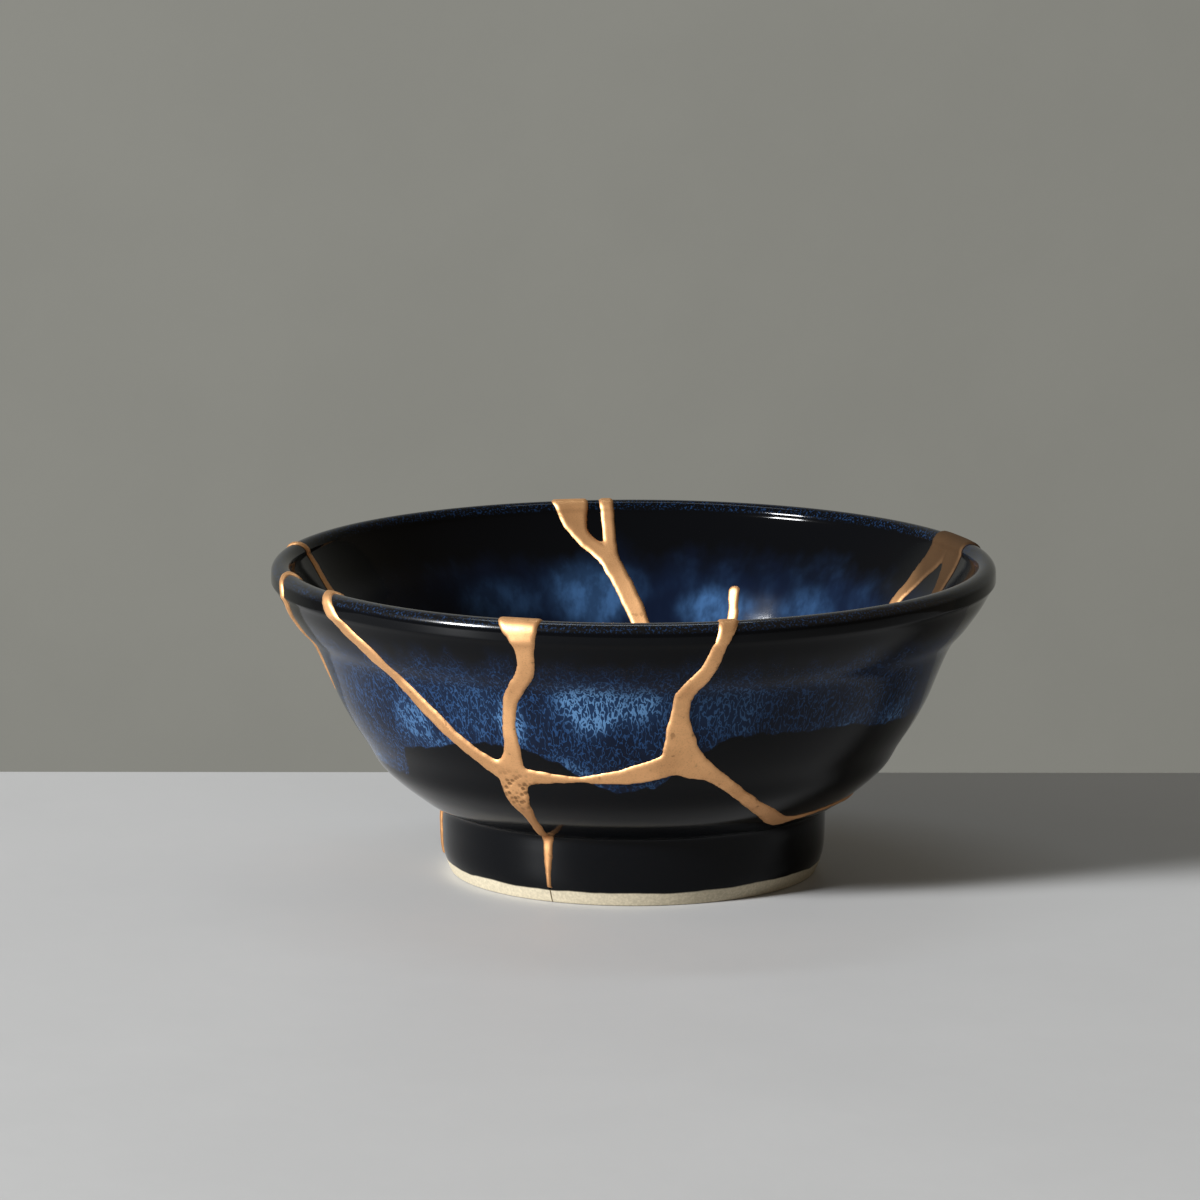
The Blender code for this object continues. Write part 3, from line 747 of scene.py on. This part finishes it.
def finished(material, maker, sockets):
    """The material, once its surface has these values."""
    shader = maker.make("ShaderNodeBsdfPrincipled", {}, sockets)
    maker.make("ShaderNodeOutputMaterial", {}, {0: shader.out(0)})
    return material


def patches_of(table, around, z, drift):
    """The strength of the soft-edged patches of a table at each place."""
    glow = 0.0
    for degrees, height, half_turn, half_height, strength in table:
        across = (around - degrees / 360) * (360 / half_turn)
        up = (z - height * MM) / (half_height * MM)
        far = (across * across + up * up + drift * 1.6).math("SQRT")
        glow = far.between(1.15, 0.35) * strength + glow
    return glow


def glazed_clay(colours):
    """Near-black glaze with a band of blue strands outside, blue clouds inside, and bare clay at the foot."""
    material, maker, place = empty_material("black_blue_glaze")
    parts = maker.make("ShaderNodeSeparateXYZ", {}, {0: place})
    x, y, z = parts.out(0), parts.out(1), parts.out(2)
    radius = (x * x + y * y).math("SQRT")
    facing = maker.make("ShaderNodeNewGeometry").out("Normal")
    facing_parts = maker.make("ShaderNodeSeparateXYZ", {}, {0: facing})
    outward = (facing_parts.out(0) * x + facing_parts.out(1) * y) / (radius + 0.0001)
    inside = (facing_parts.out(2) - outward).between(-0.3, 0.3) * z.between(0.010, 0.012)
    around = (y.math("ARCTAN2", x) / math.tau).math("FRACT")

    drift = maker.noise(maker.stretched(place, (1.0, 1.0, 0.3)), 110.0, 3.0, 0.6) - 0.5
    frill = maker.noise(maker.stretched(place, (1.0, 1.0, 0.5)), 420.0, 3.0, 0.6) - 0.5
    strands = maker.noise(maker.stretched(place, (1.0, 1.0, 0.13)), 1150.0, 2.0, 0.5, 0.35)
    clouds = maker.noise(maker.stretched(place, (1.0, 1.0, 0.35)), 75.0, 4.0, 0.6)

    stops = [(degrees / 360, (height / 100,) * 3 + (1.0,)) for degrees, height in LOWER_EDGE]
    ramp = maker.make("ShaderNodeValToRGB", {"stops": stops}, {0: around}).out(0)
    low_edge = ramp * 0.1 + drift * 0.004 + frill * 0.0016
    above_edge = z - low_edge
    fade = 0.0530 + drift * 0.013 + frill * 0.003
    band = above_edge.between(0.0, 0.0005) * (z - fade).between(0.004, -0.004) * (1.0 - inside)
    glow = patches_of(BRIGHT_PATCHES, around, z, drift)
    rim = above_edge.between(0.0045, 0.0004) * clouds.between(0.40, 0.62)
    rich = ((glow + rim * 0.5 + clouds.between(0.40, 0.72) * 0.25) * band).clamp()
    off_line = (strands - 0.5).math("ABSOLUTE")
    line_width = rich * 0.024 + frill * 0.05 + 0.022
    flecks = (off_line - line_width).between(0.018, -0.014) * band
    body = maker.mix((rich * 0.55).clamp(), colours.navy, colours.blue)
    bright = maker.mix((rich * rich).clamp(), colours.blue, colours.pale)
    outside = maker.mix(band, colours.glaze, maker.mix(flecks, body, bright))

    inner_fade = 0.0520 + drift * 0.012
    inner_band = (z - inner_fade).between(0.004, -0.006) * inside
    inner_glow = patches_of(INNER_CLOUDS, around, z, drift)
    mist = (inner_glow * (clouds * 0.9 + 0.55) + clouds.between(0.45, 0.75) * 0.25).clamp()
    wisps = maker.noise(maker.stretched(place, (1.0, 1.0, 0.5)), 330.0, 3.0, 0.6).between(0.35, 0.7)
    pool = maker.mix((mist * (wisps * 0.6 + 0.4)).clamp(), colours.navy, colours.mist)
    both = maker.mix(inner_band, outside, pool)

    lip = (z - 0.0616).between(0.0, 0.0008)
    lip_specks = maker.noise(place, 2300.0, 2.0, 0.6).between(0.52, 0.66) * lip * 0.55
    both = maker.mix(lip_specks, both, colours.blue)

    bearing = maker.noise(maker.stretched(place, (1.0, 1.0, 0.0)), 90.0, 2.0, 0.5) - 0.5
    glaze_line = 0.0027 + bearing * 0.0012 + ((x - y) * 0.017 - 0.0007).math("MAXIMUM", 0.0)
    bare = (z - glaze_line).between(0.00018, -0.00018)
    grit = maker.noise(place, 1800.0, 3.0, 0.6)
    clay = maker.mix(grit.between(0.35, 0.7), darkened(colours.clay, 0.22), colours.clay)
    base = maker.mix(bare, both, clay)
    rough = 0.07 + clouds * 0.04 + bare * 0.6
    pores = maker.noise(place, 1300.0, 2.0, 0.6) * bare
    orange_peel = maker.noise(place, 240.0, 2.0, 0.5)
    height = orange_peel * 0.12 + pores * 0.35 + flecks * 0.03
    bump = maker.make("ShaderNodeBump", {}, {"Strength": 0.25, "Distance": 0.00015, "Height": height}).out(0)
    sockets = {
        "Base Color": base,
        "Roughness": rough,
        "Normal": bump,
        "IOR": 1.5,
        "Specular IOR Level": 0.13,
        "Coat Weight": lip * y.between(0.0, -0.045) * 0.8,
        "Coat Roughness": 0.20,
        "Coat IOR": 1.5,
    }
    return finished(material, maker, sockets)


def gold_lacquer(colours):
    """Satin gold powder, a little uneven, rubbed darker in places, darker towards the foot, brown in its
    pits, and darkened on the right fork as painted shade.
    """
    material, maker, place = empty_material("gold_lacquer")
    patches = maker.noise(place, 130.0, 3.0, 0.55)
    grains = maker.noise(place, 3200.0, 2.0, 0.6)
    holes = maker.make("ShaderNodeTexVoronoi", {}, {"Vector": place, "Scale": PIT_SCALE}).out("Distance")
    rare = maker.noise(place, 520.0, 1.0, 0.5).between(0.70, 0.76)
    porous = maker.make("ShaderNodeAttribute", {"attribute_name": "porous"}).out("Fac")
    pits = ((1.0 - holes.between(0.28, 0.6)) * porous + rare * 0.5).clamp()
    parts = maker.make("ShaderNodeSeparateXYZ", {}, {0: place})
    # Painted shade: where x is 50 to 60 mm and y is 4 to 14 mm, on the right fork inside the rim, the gold is
    # darkened and made rougher to stand for the shade it lies in
    painted_fork_shade = parts.out(0).between(0.050, 0.060) * parts.out(1).between(0.004, 0.014) * 0.95
    specks = grains.between(0.50, 0.72) * 0.35
    # Darker gold in random patches and specks, and darker towards the foot, from 29 mm down to 18 mm over the
    # table
    wear_and_low_darkening = (patches.between(0.36, 0.70) * 0.5 + specks + parts.out(2).between(0.029, 0.018) * 0.8).clamp()
    tone = maker.mix(wear_and_low_darkening, colours.gold, colours.worn_gold)
    tone = maker.mix(painted_fork_shade, tone, colours.painted_fork_shade)
    tone = maker.mix(pits * 0.75, tone, colours.pit)
    rough = 0.48 + grains * 0.14 + pits * 0.2 + painted_fork_shade * 0.2
    height = grains * 0.5 + patches * 0.5 - pits
    bump = maker.make("ShaderNodeBump", {}, {"Strength": 0.35, "Distance": 0.0001, "Height": height}).out(0)
    sockets = {"Base Color": tone, "Metallic": 1.0, "Roughness": rough, "Normal": bump}
    return finished(material, maker, sockets)


def plain_surface(name, tint, roughness, mottling):
    """A pale stage surface with faint clouds in its colour."""
    material, maker, place = empty_material(name)
    clouds = maker.noise(place, 9.0, 4.0, 0.6)
    grain = maker.noise(place, 160.0, 3.0, 0.6)
    cloudy = (clouds.between(0.3, 0.7) * 0.7 + grain * 0.3).clamp()
    base = maker.mix(cloudy, darkened(tint, mottling), tint)
    bump = maker.make("ShaderNodeBump", {}, {"Strength": 0.15, "Distance": 0.0002, "Height": grain}).out(0)
    return finished(material, maker, {"Base Color": base, "Roughness": roughness, "Normal": bump})


def islands(mesh):
    """The number of the separate body that each vertex of a mesh belongs to."""
    edges = np.empty(len(mesh.edges) * 2, np.int64)
    mesh.edges.foreach_get("vertices", edges)
    first, second = edges.reshape(-1, 2).T
    label = np.arange(len(mesh.vertices))
    while True:
        low = np.minimum(label[first], label[second])
        before = label.copy()
        np.minimum.at(label, first, low)
        np.minimum.at(label, second, low)
        label = label[label]
        if (label == before).all():
            return label


def make_fragments():
    settings = bpy.context.scene.bowl_sizes
    profile = Profile(settings)
    rows = profile.rows(settings.row_step, math.radians(7))
    radii, heights, _, _ = profile.place(rows)
    outline = new_object("outline", np.stack([radii, 0 * radii, heights], 1), [])
    material = glazed_clay(bpy.context.scene.finish_colours)
    values = {
        "Columns": settings.columns,
        "Ripple": settings.ripple,
        "Ripple Size": settings.ripple_size,
        "Seed": settings.seed,
        "Material": material,
    }
    mesh = run_tree(outline, turned_pot_tree(), values)
    bpy.data.objects.remove(outline)
    whole = bpy.data.objects.new("whole_bowl", mesh)
    bpy.context.scene.collection.objects.link(whole)
    face_outwards(mesh)

    cuts = bpy.data.collections.new("crack_sheets")
    bpy.context.scene.collection.children.link(cuts)
    for name, controls in WALL_CRACKS.items():
        face_outwards(wall_cut("cut_" + name, controls, profile, cuts).data)
    for name, controls in FLOOR_CRACKS.items():
        face_outwards(floor_cut("cut_" + name, controls, profile, settings, cuts).data)
    parting = whole.modifiers.new("parting", "BOOLEAN")
    parting.operation = "DIFFERENCE"
    parting.solver = "EXACT"
    parting.operand_type = "COLLECTION"
    parting.collection = cuts
    parted = evaluated_mesh(whole)
    for obj in [whole, *cuts.objects]:
        bpy.data.objects.remove(obj)
    bpy.data.collections.remove(cuts)
    name_fragments(parted, profile, material)


def face_outwards(mesh):
    """Turns a closed mesh's faces outwards."""
    count = len(mesh.loop_triangles)
    corners = np.empty(count * 3, np.int64)
    mesh.loop_triangles.foreach_get("vertices", corners)
    a, b, c = vertex_places(mesh)[corners.reshape(-1, 3)].transpose(1, 0, 2)
    if np.einsum("ij,ij->", a, np.cross(b, c)) < 0:
        mesh.flip_normals()


def name_fragments(parted, profile, material):
    """Makes each separate body of the parted bowl the piece that stands for its node."""
    places = vertex_places(parted)
    label = islands(parted)
    polygons = [list(face.vertices) for face in parted.polygons]
    owners = np.array([label[face[0]] for face in polygons])
    taken = set()
    for name, (degrees, share) in FRAGMENTS.items():
        spot = profile.point(np.radians(degrees), profile.outer_mark(share))
        owner = label[np.argmin(np.linalg.norm(places - spot, axis=1))]
        if owner in taken:
            raise RuntimeError(f"{name} did not come apart from its neighbour")
        taken.add(owner)
        used = np.flatnonzero(label == owner)
        renumber = np.full(len(places), -1)
        renumber[used] = np.arange(len(used))
        faces = [renumber[polygons[index]].tolist() for index in np.flatnonzero(owners == owner)]
        piece = new_object("glazed_" + name, places[used], faces)
        piece.data.materials.append(material)
        piece.data.shade_smooth()
        piece.data.set_sharp_from_angle(angle=math.radians(40))
        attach(piece, "root")
        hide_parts(name)


class SeamField:
    """How far each place of a patch of the bowl's surface lies outside the nearest seam, in metres."""

    def __init__(self, profile, start, end, gold):
        self.profile = profile
        self.marks = np.linspace(start, end, max(2, round((end - start) / gold.step) + 1))
        self.columns = round(math.tau * bpy.context.scene.bowl_sizes.rim_radius / gold.step)
        self.angles = np.arange(self.columns) * math.tau / self.columns
        angle, mark = np.meshgrid(self.angles, self.marks, indexing="ij")
        self.places = profile.point(angle, mark)
        self.fillet = gold.fillet
        self.gap = np.full(angle.shape, FAR)

    def add(self, angles, marks, halves):
        """Adds a seam along a line of angles and lengths along the outline."""
        line = self.profile.point(angles, marks)
        gap = np.full(self.gap.shape, FAR)
        for index in range(len(line) - 1):
            run = slice(index, index + 2)
            self.near(gap, angles[run], marks[run], line[run], halves[run])
        blend = np.maximum(self.fillet - np.abs(gap - self.gap), 0.0) / self.fillet
        self.gap = np.minimum(gap, self.gap) - blend**2 * self.fillet / 4

    def near(self, gap, angles, marks, line, halves):
        """Puts into gap how far the places near one straight run of a seam lie outside it."""
        reach = max(halves) + 2.5 * MM
        radius = max(np.interp(marks[0], self.profile.marks, self.profile.radii), 2 * MM)
        spread = min(reach / radius, math.pi / 2)
        first = math.floor((min(angles) - spread) / math.tau * self.columns)
        last = math.ceil((max(angles) + spread) / math.tau * self.columns)
        columns = np.arange(first, last + 1) % self.columns
        rows = np.flatnonzero((self.marks > min(marks) - reach) & (self.marks < max(marks) + reach))
        if not len(rows):
            return
        block = np.ix_(columns, rows)
        start, run = line[0], line[1] - line[0]
        offset = self.places[block] - start
        share = np.clip(offset @ run / max(run @ run, 1e-18), 0.0, 1.0)
        distance = np.linalg.norm(offset - share[..., None] * run, axis=-1)
        gap[block] = np.minimum(gap[block], distance - (halves[0] + (halves[1] - halves[0]) * share))

    def wobble(self, amount):
        """Makes the edges uneven, with long waves and short ones."""
        for i, j in np.argwhere(np.abs(self.gap) < 1.2 * MM):
            spot = Vector(self.places[i, j])
            self.gap[i, j] += amount * (noise.noise(spot * 330.0) + 0.55 * noise.noise(spot * 1000.0))

    def shell(self, gold):
        """The gold's points, faces and point attributes: a raised skin over a flat back, closed all round."""
        beside = np.roll(self.gap, -1, 0)
        corners = self.gap[:, :-1], beside[:, :-1], self.gap[:, 1:], beside[:, 1:]
        kept = np.maximum.reduce(corners) < 0.45 * gold.step
        columns, rows = np.nonzero(kept)
        width = len(self.marks)

        def number(column, row):
            return (column % self.columns) * width + row

        around_cell = ((0, 0), (1, 0), (1, 1), (0, 1))
        cells = np.stack([number(columns + right, rows + down) for right, down in around_cell], 1)
        used, compact = np.unique(cells, return_inverse=True)
        cells = compact.reshape(cells.shape)
        sides = np.concatenate([cells[:, [k, (k + 1) % 4]] for k in range(4)])
        paired = set(map(tuple, sides[:, ::-1].tolist()))
        border = np.array([side for side in sides.tolist() if tuple(side) not in paired])
        column, row = used // width, used % width
        angle, mark = self.angles[column], self.marks[row]
        gap = self.gap[column, row]
        on_edge = np.zeros(len(used), bool)
        on_edge[border.ravel()] = True
        radius = np.maximum(self.profile.place(mark)[0], 1 * MM)
        turn = math.tau / self.columns
        across = self.gap[(column + 1) % self.columns, row] - self.gap[column - 1, row]
        across /= 2 * turn * radius
        down = self.gap[column, np.minimum(row + 1, width - 1)] - self.gap[column, np.maximum(row - 1, 0)]
        down /= 2 * (self.marks[1] - self.marks[0])
        steep = np.maximum(across**2 + down**2, 0.25)
        shift = np.clip(gap, -0.9 * gold.step, 0.9 * gold.step) * on_edge
        angle = angle - shift * across / steep / radius
        mark = np.clip(mark - shift * down / steep, self.marks[0], self.marks[-1])
        depth = np.where(on_edge, 0.0, np.maximum(-gap, 0.0))
        rise = np.sqrt(np.maximum(0.0, 1 - (1 - np.minimum(depth / gold.shoulder, 1.0)) ** 2))
        top = self.profile.point(angle, mark)
        outward = self.profile.point(angle, mark, 1.0) - top
        skin = top + outward * (rise * (gold.crown + gold.dip) - gold.dip)[:, None]
        back = top - outward * gold.root
        total = len(used)
        faces = cells[:, ::-1].tolist() + (cells + total).tolist()
        faces += [(a, b, b + total, a + total) for a, b in border.tolist()]
        return np.concatenate([skin, back]), faces, np.concatenate([rise, 0 * rise]), np.tile(outward, (2, 1))


def straight_run(patch, angle, start, end, half, thinned, count):
    """A seam straight along the outline, which thins to this share of its width."""
    marks = np.linspace(start, end, count)
    return patch, np.full(count, angle), marks, np.linspace(half, thinned * half, count)


def seam_lines(profile, bowl):
    """Every seam as (patch, angles, lengths along the outline, half widths); the recess is patch 1."""
    ground = bowl.foot_radius - bowl.foot_taper
    ring_edge = profile.mark_at(0, profile.joint, profile.radii, ground)
    band = profile.mark_at(ring_edge, profile.joint, profile.heights, bowl.bare_band)
    lines = []
    for controls in WALL_CRACKS.values():
        angles, shares, halves = crack_line(controls)
        outer, inner = profile.outer_mark(shares), profile.inner_mark(shares)
        if shares[0] == 0.0:
            over_rim = ((angles, angles), (outer, inner), (halves, halves))
            lines.append((0, *(np.concatenate([up[::-1], down]) for up, down in over_rim)))
        else:
            lines.append((0, angles, outer, halves))
            lines.append((0, angles, inner, halves))
        if shares[-1] == 1.0:
            lines.append(straight_run(0, angles[-1], outer[-1], band, halves[-1], 0.45, 12))
    floor_marks = np.linspace(profile.lip_top, profile.end, 600)
    floor_radii = profile.place(floor_marks)[0][::-1]
    recess_end = profile.mark_at(0, profile.joint, profile.radii, ground - bowl.foot_ring)
    recess_marks = np.linspace(0, recess_end, 300)
    recess_radii = profile.place(recess_marks)[0]
    for controls in FLOOR_CRACKS.values():
        line = floor_line(controls, bowl)
        angles = np.unwrap(np.arctan2(line[:, 1], line[:, 0]))
        radii = np.linalg.norm(line[:, :2], axis=1)
        lines.append((0, angles, np.interp(radii, floor_radii, floor_marks[::-1]), line[:, 2]))
        under = radii < recess_radii[-1]
        lines.append((1, angles[under], np.interp(radii[under], recess_radii, recess_marks), line[under, 2]))
        for end in (0, -1):
            if radii[end] > FOOT_REACHED_SHARE * bowl.foot_radius:
                inner = np.flatnonzero(under)[end]
                start = np.interp(radii[inner], recess_radii, recess_marks)
                lines.append(straight_run(1, angles[inner], start, recess_end, line[inner, 2], 0.8, 8))
    return band, lines


def keep_in_box(mesh):
    """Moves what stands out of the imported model's box back to its sides."""
    places = np.clip(vertex_places(mesh), *(np.array(corner) for corner in CAD_BOX))
    mesh.vertices.foreach_set("co", places.ravel())


def make_gold():
    bowl, gold = bpy.context.scene.bowl_sizes, bpy.context.scene.gold_sizes
    profile = Profile(bowl)
    band, lines = seam_lines(profile, bowl)
    low_inside = profile.mark_at(0, profile.joint * 0.6, profile.heights, bowl.bare_band)
    fields = (
        SeamField(profile, band, profile.end - MIDDLE_LEFT_OUT, gold),
        SeamField(profile, MIDDLE_LEFT_OUT, low_inside, gold),
    )
    for patch, angles, marks, halves in lines:
        fields[patch].add(angles, marks, halves)
    points, faces, raised, outward = [], [], [], []
    for field in fields:
        field.wobble(gold.wobble)
        patch_points, patch_faces, patch_raised, patch_outward = field.shell(gold)
        start = sum(len(block) for block in points)
        faces += [[corner + start for corner in face] for face in patch_faces]
        points.append(patch_points)
        raised.append(patch_raised)
        outward.append(patch_outward)
    points = np.concatenate(points)
    draft = new_object("gold_draft", points, faces)
    patch_angle, patch_share, patch_reach = POROUS_PATCH
    spot = profile.point(np.radians(patch_angle), profile.outer_mark(patch_share))
    porous = np.clip(1.6 - 1.6 * np.linalg.norm(points - spot, axis=1) / (patch_reach * MM), 0.0, 1.0)
    for name, kind, values in (
        ("raised", "FLOAT", np.concatenate(raised)),
        ("porous", "FLOAT", porous),
        ("outward", "FLOAT_VECTOR", np.concatenate(outward)),
    ):
        layer = draft.data.attributes.new(name, kind, "POINT")
        layer.data.foreach_set("vector" if kind == "FLOAT_VECTOR" else "value", values.ravel())
    values = {
        "Grain": gold.grain,
        "Pits": gold.pits,
        "Seed": gold.seed,
        "Material": gold_lacquer(bpy.context.scene.finish_colours),
    }
    mesh = run_tree(draft, lacquer_grain_tree(), values)
    bpy.data.objects.remove(draft)
    mesh.attributes.remove(mesh.attributes["outward"])
    mesh.attributes.remove(mesh.attributes["raised"])
    face_outwards(mesh)
    keep_in_box(mesh)
    piece = bpy.data.objects.new("gold_lacquer_seams", mesh)
    bpy.context.scene.collection.objects.link(piece)
    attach(piece, "root")
    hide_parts("gold_seams")


def slab(name, low, high, edge, material):
    """A block with its edges rounded."""
    corners = [(x, y, z) for x in (low[0], high[0]) for y in (low[1], high[1]) for z in (low[2], high[2])]
    faces = [(0, 1, 3, 2), (4, 6, 7, 5), (0, 4, 5, 1), (2, 3, 7, 6), (0, 2, 6, 4), (1, 5, 7, 3)]
    obj = new_object(name, corners, faces)
    rounding = obj.modifiers.new("rounding", "BEVEL")
    rounding.width = edge
    rounding.segments = 4
    obj.data.materials.append(material)
    return obj


def area_light(name, place, target, size, power, tint):
    data = bpy.data.lights.new(name, "AREA")
    data.shape = "RECTANGLE"
    data.size, data.size_y = size
    data.energy = power
    data.color = tint
    obj = bpy.data.objects.new(name, data)
    obj.location = place
    obj.rotation_euler = (Vector(target) - Vector(place)).to_track_quat("-Z", "Y").to_euler()
    bpy.context.scene.collection.objects.link(obj)
    return obj


def make_stage():
    scene = bpy.context.scene
    sizes, colours = scene.stage_sizes, scene.finish_colours
    table = plain_surface("pale_table", colours.table, 0.55, 0.06)
    wall = plain_surface("grey_wall", colours.backdrop, 0.8, 0.05)
    slab("table", (-1.6, -1.3, -0.03), (1.6, sizes.table_back, 0.0), 1.5 * MM, table)
    slab("backdrop", (-4.0, 2.40, -1.6), (4.0, 2.44, 2.6), 1.5 * MM, wall)
    area_light("key", (-3.06, -1.99, 1.63), (0.0, 0.0, 0.03), (0.75, 0.75), 330.0, (0.97, 0.985, 1.0))
    area_light("overhead", (-0.1, 0.48, 1.42), (0.0, 0.0, 0.0), (0.9, 0.16), 2.0, (0.80, 0.91, 1.0))
    world = bpy.data.worlds.new("studio")
    scene.world = world
    world.use_nodes = True
    background = world.node_tree.nodes["Background"]
    background.inputs["Color"].default_value = (1.0, 0.88, 0.72, 1.0)
    background.inputs["Strength"].default_value = 0.145

    camera = bpy.data.objects.new("camera", bpy.data.cameras.new("camera"))
    camera.data.lens = sizes.lens
    camera.data.sensor_width = 36.0
    camera.location = (0.0, -sizes.camera_distance, sizes.camera_height)
    camera.rotation_euler = (math.pi / 2 - sizes.tilt, 0.0, -sizes.turn)
    camera.data.clip_end = 20.0
    scene.collection.objects.link(camera)
    scene.camera = camera
    scene.view_settings.view_transform = "Standard"


class KINTSUGI_OT_fragments(bpy.types.Operator):
    """Turn the bowl, part it along its cracks and glaze the fragments"""

    bl_idname = "kintsugi.fragments"
    bl_label = "Glazed Fragments"

    def execute(self, context):
        make_fragments()
        return {"FINISHED"}


class KINTSUGI_OT_gold(bpy.types.Operator):
    """Lay the gold lacquer along every crack"""

    bl_idname = "kintsugi.gold"
    bl_label = "Gold Seams"

    def execute(self, context):
        make_gold()
        return {"FINISHED"}


class KINTSUGI_OT_stage(bpy.types.Operator):
    """Set the table, the wall behind it, the lights and the camera"""

    bl_idname = "kintsugi.stage"
    bl_label = "Studio"

    def execute(self, context):
        make_stage()
        return {"FINISHED"}


class KINTSUGI_PT_panel(bpy.types.Panel):
    """Lists the steps that make the mended bowl"""

    bl_idname = "KINTSUGI_PT_panel"
    bl_label = "Mended Bowl"
    bl_space_type = "VIEW_3D"
    bl_region_type = "UI"
    bl_category = "Mended Bowl"

    def draw(self, context):
        for step in (KINTSUGI_OT_fragments, KINTSUGI_OT_gold, KINTSUGI_OT_stage):
            self.layout.operator(step.bl_idname)


SETTINGS = {
    "bowl_sizes": BowlSizes,
    "gold_sizes": GoldSizes,
    "finish_colours": FinishColours,
    "stage_sizes": StageSizes,
}
CLASSES = (*SETTINGS.values(), KINTSUGI_OT_fragments, KINTSUGI_OT_gold, KINTSUGI_OT_stage, KINTSUGI_PT_panel)


def register():
    for made in CLASSES:
        bpy.utils.register_class(made)
    for name, made in SETTINGS.items():
        setattr(bpy.types.Scene, name, PointerProperty(type=made))


def unregister():
    for name in SETTINGS:
        delattr(bpy.types.Scene, name)
    for made in reversed(CLASSES):
        bpy.utils.unregister_class(made)


def main():
    register()
    for obj in list(bpy.context.scene.objects):
        if obj.type in {"CAMERA", "LIGHT"} or obj.name == "Cube":
            bpy.data.objects.remove(obj)
    bpy.ops.kintsugi.fragments()
    bpy.ops.kintsugi.gold()
    bpy.ops.kintsugi.stage()


if __name__ == "__main__":
    main()
